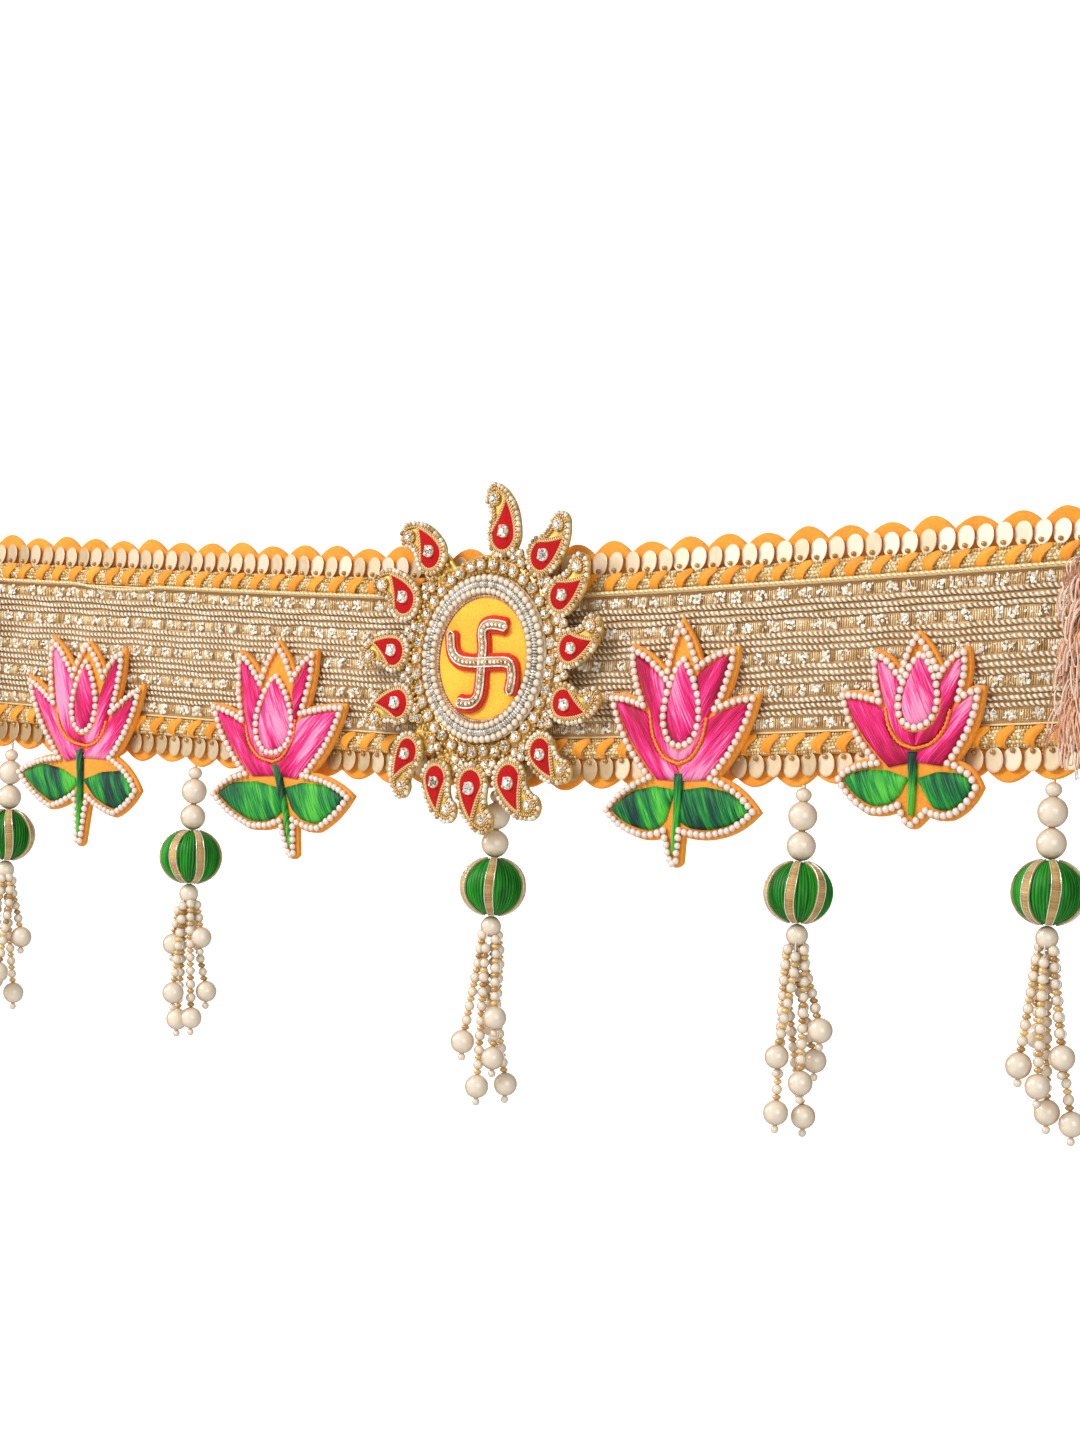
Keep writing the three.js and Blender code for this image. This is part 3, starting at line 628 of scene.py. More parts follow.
def lace_cords():
    g = Gather()
    x = band_x(1.1)
    for number in range((LADDER_ROWS - 1) * ROW_CORDS):
        row, cord = divmod(number, ROW_CORDS)
        level = FIRST_ROW - LADDER_TALL - row * ROW_PITCH - (cord + 0.5) * CORD_PITCH
        start = draw(0, 9)
        wander = 0.16 * np.sin(x / 7.3 + start) + 0.1 * np.sin(x / 2.9 + 2 * start)
        path = on_band(x, lace_front - 0.5, level + wander)
        tone = 0.5 + 0.2 * np.sin(x / 5.1 + 3 * start) + draw(-0.25, 0.25, len(x))
        radius = 0.8 + 0.07 * np.sin(x / 3.7 + 5 * start)
        g.add(tube(path, radius, flat=0.75), 0, np.repeat(tone, TUBE_SIDES), turns_along(path, CORD_TWIST))
    g.piece("lace_cords", [LACE_CORD], "gold_lace")


def flakes(x, z, kind):
    """Flakes of foil strewn about a place: each one's place, size, turns and tone."""
    count, across, up, out, further, sizes, tones = kind
    for _ in range(count):
        dx, dz = draw(-across, across), draw(-up, up)
        place = (x + dx, lace_front - out - draw(0, further), z + dz + sag(x))
        yield place, draw(*sizes), draw(-0.9, 0.9, 3), draw(*tones)


def lace_ladders():
    """The rows of upright threads, the two selvedges, and the glitter on the rows."""
    g = Gather()
    for level in (LACE_TOP - 0.5, LACE_BOTTOM + 0.5):
        g.add(tube(on_band(band_x(8), lace_front, level), 0.45, 5))
    bar = ball(4, 4)
    x = band_x(BAR_PITCH)[1:-1]
    glitter = []
    for row in range(LADDER_ROWS):
        middle = FIRST_ROW - row * ROW_PITCH - LADDER_TALL / 2
        places = xyz(x + draw(-0.12, 0.12, len(x)), lace_front - 0.15, middle + sag(x))
        group = np.floor((x - BAND_LEFT) / 3.6)
        tones = np.clip(0.42 + 0.3 * np.sin(group * 2.2 + row) + draw(-0.25, 0.25, len(x)), 0, 1)
        g.stamp(bar, places, (0.42, 0.5, LADDER_TALL / 2), tones=tones)
        pairs = np.arange(BAND_LEFT + 4 + 5.5 * (row % 3), BAND_RIGHT - 9, CLUSTER_REPEAT)
        for at in np.concatenate([pairs, pairs + CLUSTER_PITCH]):
            glitter += flakes(at, middle, CLUSTERED)
        for at in pairs + (CLUSTER_PITCH + CLUSTER_REPEAT) / 2:
            glitter += flakes(at, middle, STREWN)
    g.piece("lace_ladder", [LADDER], "gold_lace")
    places, size, angles, tones = (np.array(column) for column in zip(*glitter))
    turns = turns_about(angles[:, 0], "x") @ turns_about(angles[:, 1], "z")
    turns = turns @ turns_about(3 * angles[:, 2], "y")
    foil = Gather()
    foil.stamp(gem(5), places, xyz(size, 0.45 * size, size), turns, tones=tones)
    foil.piece("lace_glitter", [GLITTER], "gold_lace", smooth=False)


def lace():
    section = [(trim_back, LACE_TOP), (lace_front, LACE_TOP - 0.3),
               (lace_front, (LACE_TOP + LACE_BOTTOM) / 2), (lace_front, LACE_BOTTOM + 0.3),
               (trim_back, LACE_BOTTOM)]
    g = Gather()
    g.add(along_band(band_x(8), section))
    ground = g.piece("lace_ground", [LACE], "gold_lace", ["lace_panel"])
    lace_cords()
    lace_ladders()


def edge_cord():
    """The piping cord on the lace's top selvedge, hanging loose along one stretch."""
    x = band_x(1.5)
    off = np.clip(np.abs((x - LOOSE_X) / LOOSE_HALF), 0, 1)
    path = on_band(x, patch_back - EDGE_CORD_D / 2 + 0.5, LACE_TOP - LOOSE_DROP * (1 - off**2))
    g = Gather()
    tone = draw(0.4, 0.9, len(x))
    g.add(tube(path, EDGE_CORD_D / 2 - 0.12), 0, np.repeat(tone, TUBE_SIDES), turns_along(path, CORD_TWIST))
    g.piece("edge_cord_twisted", [EDGE_GOLD], "gold_lace", ["edge_cord"])


# Braid with ribbon loops. A loop runs as (x, z, y) from the braid's foot to its top.
LOOP = smooth_path([(1.9, -BRAID_TALL - 0.15, 1.1), (2.1, -5.2, 0.05), (2.7, -3.8, -0.75), (3.8, -2.4, -0.85),
                    (5.5, -1.1, -0.5), (7.9, 0, 0.1)], 3)
LOOP_WIDE = np.interp(np.linspace(0, 1, len(LOOP)), [0, 0.35, 0.6, 0.85, 1], [4.6, 4.5, 3.9, 2.7, 1.3])
KNOT_ROWS, KNOT_PITCH = (-1.4, -2.45, -3.5, -4.6), 1.45
RIM_PITCH = 1.15


def braid(place, top):
    front = braid_front
    section = [(trim_back, 0), (front + 0.5, -0.2), (front + 0.1, -1.5), (front, -BRAID_TALL / 2),
               (front + 0.1, 1.5 - BRAID_TALL), (front + 0.5, 0.2 - BRAID_TALL), (trim_back, -BRAID_TALL)]
    g = Gather()
    g.add(along_band(band_x(3), section, top), 0, 0.3)
    for row, z in enumerate(KNOT_ROWS):
        knots = np.arange(BAND_LEFT + 1 + 0.7 * (row % 2), BAND_RIGHT - 1, KNOT_PITCH)
        n = len(knots)
        places = xyz(knots + draw(-0.25, 0.25, n), front - 0.05 + draw(-0.15, 0.15, n),
                     top + z + draw(-0.2, 0.2, n) + sag(knots))
        turns = turns_about(draw(-1.2, 1.2, n), "y")
        g.stamp(KNOT, places, (0.95, 0.5, 0.5), turns, tones=draw(0.1, 1, n))
    for z in (-0.25, 0.25 - BRAID_TALL):
        beads = np.arange(BAND_LEFT + 0.6, BAND_RIGHT - 0.6, RIM_PITCH)
        g.stamp(KNOT, on_band(beads, front + 0.25, top + z), 0.5, tones=draw(0, 0.75, len(beads)))
    g.piece(f"woven_braid_{place}", [BRAID], "gold_braid", [f"braid_{place}"])

    loops = Gather()
    for number in range(floor((BAND_RIGHT - BAND_LEFT - 8) / LOOP_PITCH)):
        at = BAND_LEFT + 1 + number * LOOP_PITCH + draw(-0.4, 0.4)
        x = at + LOOP[:, 0] * draw(0.92, 1.05)
        path = on_band(x, front - 0.25 + LOOP[:, 2], top + LOOP[:, 1])
        thread = xyz(np.arange(8.0), lengths_along(path)[:, None], at).reshape(-1, 3)
        loops.add(strip(path, LOOP_WIDE * draw(0.93, 1.05), 0.5), 0, draw(0.35, 0.75), thread)
    loops.piece(f"ribbon_on_braid_{place}", [RIBBON], "orange_felt")


# Sequins with a seed bead on each hole. They overlap, so each leans a little sideways.
HOLE_OFF = SEQUIN_HOLE - SEQUIN_FACE / 2
SEQUIN_LEAN = -0.15


def sequin_form():
    """One sequin facing the viewer, its hole towards -z, nearly flat."""
    hole = 0.4
    rings = []
    for share, y in ((0, -0.16), (0.9, -0.22), (0.97, -0.16), (1, -0.1), (0.97, -0.02), (0, 0.04)):
        radius = hole + share * (SEQUIN_FACE / 2 - hole)
        rings.append(wheel(radius, circle(24), y, 0, HOLE_OFF * (1 - share)))
    return loft(rings, True)


def sequins(name, level, way):
    """A row of overlapping sequins that stands up, way 1, or hangs down, way -1."""
    count = floor((BAND_RIGHT - BAND_LEFT) / SEQUIN_PITCH)
    x = BAND_LEFT + (np.arange(count) + 0.5) * SEQUIN_PITCH
    n = len(x)
    middle = level + way * (SEQUIN_FACE / 2 - 0.5)
    turns = turns_about(SEQUIN_LEAN + draw(-0.03, 0.03, n), "z")
    turns = turns @ turns_about(draw(-0.1, 0.05, n), "x")
    turns = turns @ turns_about(draw(-0.12, 0.12, n) + (0 if way > 0 else pi), "y")
    places = xyz(x + draw(-0.2, 0.2, n), trim_back - 0.8 + draw(-0.05, 0.05, n),
                 middle + sag(x) + draw(-0.25, 0.25, n))
    paler = (x - BAND_LEFT) / (BAND_RIGHT - BAND_LEFT) - (0 if way > 0 else 0.55)
    g = Gather()
    tones = np.clip(0.3 + 0.55 * paler + rng.normal(0, 0.13, n), 0, 1)
    g.stamp(sequin_form(), places, 1.0, turns, tones=tones)
    g.piece("cupped_" + name, [SEQUIN], "sequins", [name], smooth=False)
    seeds = Gather()
    hole = np.einsum("nij,j->ni", turns, (0, -0.55, HOLE_OFF)) + places
    seeds.stamp(BALL, hole, (1.0, 0.75, 0.85), tones=draw(0, 0.3, n))
    seeds.add(tube(on_band(band_x(6), trim_back - 0.45, level - way * 0.1), 0.4, 5))
    seeds.piece("seed_beads_" + name, [GOLD_BEAD], "sequins")


# Outlines: flat corners with a control point after each, counter-clockwise as the viewer sees them.
def outline(corners, bulges):
    """Each bulge is how far the side after its corner swells outwards."""
    points = np.array(corners, float)
    after = np.roll(points, -1, 0)
    return points, (points + after) / 2 - 2 * np.array(bulges)[:, None] * left_of(unit(after - points))


def inset(shape, by):
    """The outline moved inwards, its corners on their own bisectors."""
    points, controls = shape
    left_in = left_of(unit(points - np.roll(controls, 1, 0)))
    left_out = left_of(unit(controls - points))
    share = np.maximum(1 + np.sum(left_in * left_out, -1, keepdims=True), 0.22)
    moved = points + by * (left_in + left_out) / share
    return moved, controls + by * left_of(unit(np.roll(points, -1, 0) - points))


def side_of(shape, k):
    """The side after corner k as a path."""
    points, controls = shape
    a, b, c = points[k], controls[k], points[(k + 1) % len(points)]
    t = np.linspace(0, 1, 9)[:, None]
    return (1 - t) ** 2 * a + 2 * t * (1 - t) * b + t**2 * c


def cut_felt(g, path, back, thick, finish=0):
    """Felt cut to a closed outline path: an eased edge and a flat back and front."""
    inward = left_of(unit(np.roll(path, -1, 0) - np.roll(path, 1, 0)))
    ease = 0.35
    levels = [(0.15, 0), (0, 0.3 * ease), (0, thick - ease), (0.1, thick - 0.3 * ease), (ease, thick)]
    g.add(loft([upright(path + into * inward, back - depth) for into, depth in levels]), finish)


def pad(g, side_a, side_b, thick, rise, tones, lay):
    """A stitched pad on a patch, between two sides from its root to its tip, its threads at an angle."""
    rows, columns, back = 18, 9, patch_front - 0.05
    a, b = resample(side_a, rows), resample(side_b, rows)
    u, t = np.linspace(0, 1, columns), np.linspace(0, 1, rows)
    shut = np.minimum(1, np.minimum(t / 0.12, (1 - t) / 0.06 + 0.05))
    across = a[:, None] + u[None, :, None] * (b - a)[:, None]
    arch = (4 * u * (1 - u)) ** 0.6
    top = xyz(across[..., 0], back - thick - rise * np.sqrt(shut)[:, None] * arch, across[..., 1])
    under = top[:, ::-1].copy()
    under[..., 1] = back
    rings = np.concatenate([top, under], 1)
    c, s = cos(radians(lay)), sin(radians(lay))
    flat = rings[..., ::2]
    thread = xyz(flat @ (-s, c), flat @ (c, s), 10 * g.count % 97).reshape(-1, 3)
    tone = np.interp(t, np.linspace(0, 1, len(tones)), tones)
    g.add(loft(rings), 0, np.repeat(tone, 2 * columns), thread)


def pearl_row(g, places, y, radius):
    """Small pearls sewn at flat places, a little out of line and of uneven size."""
    n = len(places)
    centres = upright(places + draw(-0.12, 0.12, (n, 2)), y + draw(-0.1, 0.1, n))
    g.stamp(BALL, centres, radius * draw(0.93, 1.06, n))


# The lotus patches. Places are from the flower's base, and pairs are the left one and the right one.
# Up the outline from the stem's foot come the crotch below each leaf, the leaf's belly and tip, the
# base of the petals, the outer petal's tip, the notch, the inner petal's tip and the cleft beside the
# middle petal. cup is the lowest point of the line between inner and outer petals, low the foot of the
# outer ones, heart the middle petal: its foot, its tip and its half widths to the left and the right.
# The leaves leave the stem at the share root of its length. The tones of petals and leaves run from
# root to tip, 0 dark and 1 light.
LOTUSES = [
    dict(at=(-218, -76), foot=(3, -36), width=5.2, crotch=((-2.2, -18.5), (8, -19.5)),
         belly=((-16, -22.5), (23, -24.5)), leaf=((-38, -8), (37, -14)), base=((-15.3, -0.8), (22, -1.4)),
         outer=((-34, 30), (36, 26.5)), notch=((-19.5, 23), (21, 19)), inner=((-20, 45), (24, 40)),
         cleft=((-6, 33), (12.5, 32)), middle=(2, 43), cup=(4.5, 2.4), low=(1.5, -2),
         heart=((2.1, 8.6), (2.2, 34), 6.2, 6.4), root=0.36, greens=((0.85, 0.15, 0.5), (0.35, 0.05, 0.5)),
         petals=((0.35, 0.55, 0.6), (0.3, 0.85, 0.7), (0.15, 0.3, 0.55), (0.85, 0.25, 0.1),
                 (0.9, 0.45, 0.15))),
    dict(at=(-106, -80), foot=(11.5, -32.5), width=6, crotch=((3.5, -21), (13.5, -21)),
         belly=((-12, -22.5), (25, -22.5)), leaf=((-35, -10), (42, -9)), base=((-19.5, -1.2), (20, -1)),
         outer=((-37, 24), (36, 24)), notch=((-21.5, 20.5), (15.5, 22.5)), inner=((-23, 43.5), (19, 43.5)),
         cleft=((-10.5, 34.5), (7.5, 35.5)), middle=(-2, 47), cup=(-1, 2.4), low=(1.5, -2.5),
         heart=((-1.4, 6.4), (-1.6, 33), 8.8, 9.4), root=0.28, greens=((0.6, 0.75, 0.1), (0.45, 0.8, 0.05)),
         petals=((0.35, 0.35, 0.5), (0.85, 0.4, 0.3), (0.55, 0.8, 0.4), (0.7, 0.3, 0.3),
                 (0.3, 0.65, 0.5))),
    dict(at=(91, -79), foot=(0, -29.5), width=6.2, crotch=((-6, -19.8), (3.6, -19.4)),
         belly=((-16, -20.5), (18.5, -19.5)), leaf=((-33.5, -11.5), (36, -10.5)),
         base=((-15.8, 0.6), (18, 1)),
         outer=((-33, 27.5), (33.5, 28)), notch=((-20, 26.5), (19, 26)), inner=((-24, 44.5), (23.5, 43.5)),
         cleft=((-8, 36), (7.5, 39)), middle=(-2, 53), cup=(0, 4.6), low=(1, -1),
         heart=((0.4, 11.3), (0.3, 38.5), 6.8, 7.6), root=0.2, greens=((0.85, 0.25, 0.05), (0.55, 0.1, 0.8)),
         petals=((0.7, 0.3, 0.15), (0.8, 0.35, 0.15), (0.15, 0.6, 0.95), (0.85, 0.25, 0.1),
                 (0.85, 0.35, 0.1))),
    dict(at=(188, -70), foot=(1.5, -22.8), width=7, crotch=((-4.4, -17.6), (7.8, -18.8)),
         belly=((-16, -19), (17.5, -19.5)), leaf=((-30.5, -7.6), (28.5, -9.2)),
         base=((-17.2, -1), (18.4, -1)),
         outer=((-30, 20), (27.5, 22)), notch=((-16, 19.5), (21, 21.5)), inner=((-16.5, 33.5), (20.5, 34.5)),
         cleft=((-6, 28), (10.6, 28.5)), middle=(0.5, 39.5), cup=(1.6, 2.3), low=(1.5, -1.8),
         heart=((1.6, 9.6), (3, 31.5), 6.8, 7.4), root=0.42, greens=((0.8, 0.6, 0.3), (0.4, 0.45, 0.4)),
         petals=((0.12, 0.3, 0.4), (0.15, 0.85, 0.7), (0.95, 0.8, 0.75), (0.1, 0.3, 0.45),
                 (0.15, 0.35, 0.9))),
]
# Corners of one half of the outline above the foot, and how far the sides from foot to middle swell.
HALF = ("crotch", "belly", "leaf", "base", "outer", "notch", "inner", "cleft")
BULGES = (0, 0.8, 1.5, 1.5, 2.2, 0.7, 1.2, 1.2, 0.9)
FOOT_BULGE = 1.6
# From the outer left petal to the outer right one: how far each swells, and how its threads lie.
PETAL_RISES = (1.1, 1.2, 1.7, 1.2, 1.1)
PETAL_LAYS = (126, 112, 118, 60, 44)
LEAF_LAY, STEM_LAY = 118, 88
PEARL_INSET, STITCH_INSET = 1.75, 3.35
EDGE_PITCH, FOOT_PITCH, HEART_PITCH, CHAIN_PITCH = 2.6, 2.2, 2.65, 0.55


def lotus_outline(m):
    """From the right of the stem's foot up to the middle petal's tip and down the left side."""
    x, z = m["foot"]
    half = m["width"] / 2
    corners = [(x + half, z + 1.5), *(m[part][1] for part in HALF), m["middle"],
               *(m[part][0] for part in HALF[::-1]), (x - half, z + 1.5)]
    return outline(corners, (*BULGES, *BULGES[::-1], FOOT_BULGE))


def heart_side(m, grow, way):
    """One side of the middle petal, from its foot to its tip: blunt below, pointed above."""
    (fx, fz), (tx, tz), wide_left, wide_right = m["heart"]
    t = np.linspace(0, 1, 17) ** 1.6
    swell = np.sqrt(t) * (1 - t) ** 0.9 / 0.4015
    wide = (wide_right if way > 0 else wide_left) + grow
    return np.stack([fx + (tx - fx) * t + way * wide * swell, fz - grow + (tz - fz + 2.2 * grow) * t], -1)


def lotus(number, m):
    name = f"lotus_{number}"
    edge = lotus_outline(m)
    pearls_at, stitched = inset(edge, PEARL_INSET), inset(edge, STITCH_INSET)

    def placed(path):
        return np.asarray(path, float) + m["at"]

    def side(way, part):
        """The stitched outline from a part of the right or left half up to the next part."""
        k = 1 + HALF.index(part)
        return side_of(stitched, k) if way > 0 else side_of(stitched, 17 - k)[::-1]

    path = np.vstack([side_of(edge, k)[:-1] for k in range(len(edge[0]))])
    g = Gather()
    cut_felt(g, placed(path), patch_back, PATCH_THICK)
    patch = g.piece(name + "_patch", [ORANGE_FELT], "orange_felt", [name + "_felt"])

    cup, low = np.array(m["cup"]), np.array(m["low"])
    in_heart = 11
    heart, wider, bowl, outer, inner = {}, {}, {}, {}, {}
    for way in (1, -1):
        heart[way], wider[way] = heart_side(m, 0, way), heart_side(m, 1.9, way)
        notch = side(way, "notch")[0]
        reach = notch - cup
        bowl[way] = smooth_path([cup, cup + reach * (0.48, 0.14), cup + reach * (0.84, 0.52), notch], 6)
        outer[way] = [side(way, "base"),
                      np.vstack([low, cup + (0.6 * way, -1), bowl[way][2:] + (0.5 * way, -0.6),
                                 side(way, "outer")[-2::-1]])]
        inner[way] = [np.vstack([bowl[way][:-1] + (-0.4 * way, 0.7), side(way, "notch")]),
                      np.vstack([wider[way][:in_heart], side(way, "inner")[::-1]])]
    petals = Gather()
    sides = [outer[-1], inner[-1], (heart[1], heart[-1]), inner[1][::-1], outer[1][::-1]]
    for (a, b), tones, rise, lay in zip(sides, m["petals"], PETAL_RISES, PETAL_LAYS):
        pad(petals, placed(a), placed(b), 0.5, rise, tones, lay)
    petals.piece(name + "_petals", [PINK], "pink_stitch", [name + "_bloom"])

    chain = Gather()
    under_heart = np.vstack([wider[1][in_heart - 2::-1], wider[-1][1:in_heart - 1]])
    for line, out, thick, swell in ((bowl[-1], 0.9, 0.5, 0.16), (bowl[1], 0.9, 0.5, 0.16),
                                    (under_heart, 0.8, 0.42, 0.14)):
        dense, _ = spread(placed(line), CHAIN_PITCH)
        links = thick + swell * np.sin(2.1 * np.arange(len(dense)))
        chain.add(tube(upright(dense, patch_front - out), links))
    chain.piece(name + "_chain_stitch", [CHAIN], "orange_felt")

    leaves = Gather()
    stem_top = np.array([low[0] * 0.6, 1.4])
    foot = np.array(m["foot"]) + (0, 4.2)
    for way, tones in zip((-1, 1), m["greens"]):
        root_top = stem_top + (foot - stem_top) * m["root"] + (way * 1.7, 0)
        root_low = side(way, "crotch")[0] + (0.6 * way, 1.2)
        rim = side(way, "leaf")[-4::-1]
        shoulder = 0.5 * (root_top + rim[0]) + (0, 1.3)
        lower = np.vstack([root_low, side(way, "crotch")[2:], side(way, "belly")[1:]])
        upper = np.vstack([root_top, shoulder, rim])
        a, b = (upper, lower) if way > 0 else (lower, upper)
        pad(leaves, placed(a), placed(b), 0.4, 0.9, tones, LEAF_LAY)
    stem = smooth_path([stem_top, (stem_top + foot) / 2 + (0.3, 0), foot])
    half = np.linspace(1.7, 0.8, len(stem))[:, None] * (1, 0)
    pad(leaves, placed(stem - half), placed(stem + half), 1.1, 0.8, (0.05, 0.35, 0.8, 0.95), STEM_LAY)
    leaves.piece(name + "_stem_and_leaves", [GREEN], "green_stitch", [name + "_leaves"])

    pearls = Gather()
    last = len(edge[0]) - 1
    for k in range(last + 1):
        line, _ = spread(placed(side_of(pearls_at, k)), FOOT_PITCH if k == last else EDGE_PITCH)
        pearl_row(pearls, line[:-1], patch_front - 1.05, 1.27)
    ring = np.vstack([heart_side(m, 0.7, 1), heart_side(m, 0.7, -1)[-2:0:-1]])
    pearl_row(pearls, spread(placed(ring), HEART_PITCH, closed=True)[0], patch_front - 1.2, 1.3)
    pearls.piece(name + "_pearls", [PINK_PEARL], "pearl")


# The medallion.
# Columns: angle round the medallion, reach of the bulb's middle, lean of the tail, and size.
PAISLEYS = [
    (81, 43.3, 11, 1.05), (54, 43.4, -18, 0.99), (31, 41.4, 4, 0.95), (5, 41, 14, 0.92),
    (-21, 41.9, 9, 0.93), (-47, 43.2, -3, 0.91), (-70, 44.2, 11, 1.03), (-94, 43.8, 13, 1.03),
    (-116, 46.8, 38, 0.94), (-137, 48, 17, 0.93), (-159, 44.2, -16, 0.97), (177, 44.6, -10, 0.96),
    (153, 45.5, -19, 0.99), (128, 46.4, 2, 0.98),
]
DROP_R, DROP_BEND, DROP_POINT = 5.0, (1.6, 4.8), (0.9, 11.6)
BIG_STONE, SMALL_STONE = (0.4, 1.1), (-4.4, 12.1)
# The ring of cut stones: radius, count and size.
STONE_RING_R, STONE_COUNT, STONE_SIZE = 32.4, 38, 3.3
# The stones between two paisleys: angle from the middle of the gap, and reach.
GAP_STONES = ((-3, 36.6), (2.9, 36.9), (0, 39.2))
GAP_STONE_SIZE = 2.7
# Rows of seed beads round the medallion: radius, count and bead size.
SEED_ROWS = ((30.2, 118, 1.1), (34.9, 118, 1.4), (36.8, 110, 1.5), (38.8, 116, 1.4))
# The stretch that the outer rows leave bare, in degrees: its middle and half of its width.
BARE_AT, BARE_HALF = 104, 19
# The rings of pearls: radius, count, rise and pearl radius. The bugles lie between them.
PEARL_RINGS = ((28.0, 63, 2.1, 1.4), (23.5, 60, 2.9, 1.25))
BUGLE_RING_R, BUGLE_COUNT = 25.7, 150
ROSE_RING_R, ROSE_COUNT = 21.7, 122


def on_medallion(radius, turn, y):
    return wheel(radius, turn, y, MEDALLION_X, MEDALLION_Z)


def stones_in_cups(gems, cups, places, size, cup_finish=0):
    """Cut stones, each in a cup with four claws."""
    places = np.asarray(places, float)
    n = len(places)
    spin = turns_about(draw(0, 0.8, n), "y")
    tilt = turns_about(draw(-0.12, 0.12, n), "x")
    gems.stamp(GEM, places, size / 2, tilt @ spin, tones=draw(0.4, 1, n))
    rim = lathe([(0.95, 0.5), (1.0, -0.25), (1.16, -0.3), (1.25, 0), (1.2, 0.5)], 12)
    cups.stamp(rim, places, size / 2, finish=cup_finish, tones=draw(0.3, 0.8, n))
    for turn in 0.6 + circle(4):
        claw = places + size / 2 * wheel(1.02, turn, -0.32)
        cups.stamp(KNOT, claw, 0.17 * size, finish=cup_finish, tones=draw(0.4, 0.9, n))


def medallion_ruffle():
    """The base of gathered foil, with a lobe behind each paisley."""
    turn = circle(224)
    lobes = np.radians([row[0] for row in PAISLEYS])
    near = np.min(np.abs((turn[:, None] - lobes + pi) % (2 * pi) - pi), 1)
    between = np.clip((near - radians(4)) / radians(6), 0, 1)
    rim = LOBE_R + (BASE_R - LOBE_R) * between**2 * (3 - 2 * between)
    ruffle = 0.5 * (0.35 * np.sin(turn * 61) + 0.25 * np.sin(turn * 37 + 1))
    bore = 20
    rings = [on_medallion(bore, turn, base_back)]
    for share, y, wave in ((1, base_back, 0), (1.012, base_back - 0.9, 0.6), (1, base_front + 0.2, 1),
                           (0.94, base_front, 1), (0.85, base_front, 0.7)):
        rings.append(on_medallion(rim * share, turn, y - wave * ruffle))
    rings.append(on_medallion(bore, turn, base_front))
    g = Gather()
    g.add(loft(rings, True))
    g.piece("medallion_ruffle", [FOIL], "gold_braid", ["medallion_base"])


def medallion_stones():
    """A ring of stones, three more between each two paisleys, and rows of seed beads."""
    gems, cups = Gather(), Gather()
    places = on_medallion(STONE_RING_R, circle(STONE_COUNT), tier - 1.7)
    stones_in_cups(gems, cups, places + draw(-0.5, 0.5, places.shape) * (1, 0.3, 1), STONE_SIZE)
    angles = [row[0] - (360 if row[0] > PAISLEYS[0][0] else 0) for row in PAISLEYS]
    for before, here in zip(angles, angles[1:]):
        for off, reach in GAP_STONES:
            place = on_medallion(reach, radians((before + here) / 2 + off), tier - 1.4)
            stones_in_cups(gems, cups, [place], GAP_STONE_SIZE)
    gems.piece("medallion_stones", [STONE], "sequins", ["stone_ring"], smooth=False)
    for radius, count, size in SEED_ROWS:
        turn = draw(0, 1) + circle(count)
        beads = on_medallion(radius, turn, tier - 0.6)
        beads = beads + draw(-0.35, 0.35, beads.shape)
        off = np.abs((np.degrees(turn) - BARE_AT + 180) % 360 - 180)
        beads = beads[(radius < BASE_R) | (off > BARE_HALF)]
        cups.stamp(SEED, beads, size / 2, tones=draw(0.2, 1, len(beads)))
    bed = [(29.8, tier), (30.2, tier - 0.6), (34.6, tier - 0.6), (35, tier)]
    cups.add(lathe(bed, 96, MEDALLION_X, MEDALLION_Z), 0, 0.3)
    cups.piece("medallion_cups", [GOLD_BEAD], "gold_braid")


def medallion_rings():
    """Two rings of pearls with a ribbed silver ring between them, and the disc's beaded edge."""
    pearls, bugles, rose = Gather(), Gather(), Gather()
    bed = [(22.0, tier), (22.1, tier - 1.6), (24, tier - 2.2), (27, tier - 1.6), (29, tier - 0.8),
           (29.2, tier)]
    pearls.add(lathe(bed, 96, MEDALLION_X, MEDALLION_Z), 0, 0.2)
    for reach, count, rise, radius in PEARL_RINGS:
        pearls.stamp(BALL, on_medallion(reach, circle(count), tier - rise), radius * draw(0.96, 1.04, count))
    pearls.piece("medallion_pearls", [PEARL], "pearl", ["pearl_ring"])
    turn = circle(BUGLE_COUNT)
    bugles.stamp(ball(6, 5), on_medallion(BUGLE_RING_R, turn, tier - 2.5), (1.35, 1.1, 0.52),
                 turns_about(-turn, "y"), tones=draw(0.1, 1, BUGLE_COUNT))
    bugles.piece("medallion_bugles", [SILVER], "sequins")
    rose.stamp(SEED, on_medallion(ROSE_RING_R, circle(ROSE_COUNT), tier - 1.9), 0.58)
    rose.piece("medallion_rose_edge", [ROSE_BEAD], "gold_braid")


def medallion_disc():
    """The felt disc, eased at its edge and slightly domed."""
    rows = [(21.3, 0), (21.55, 0.4), (21.45, DISC_THICK - 0.3), (21, DISC_THICK)]
    rows += [(r, DISC_THICK + 0.25 * (1 - (r / 21) ** 2)) for r in np.linspace(19, 0.6, 12)]
    disc = Gather()
    disc.add(loft([on_medallion(r, circle(96), tier - rise) for r, rise in rows]))
    face = disc.piece("medallion_face", [YELLOW_FELT], "yellow_felt", ["medallion_disc"])


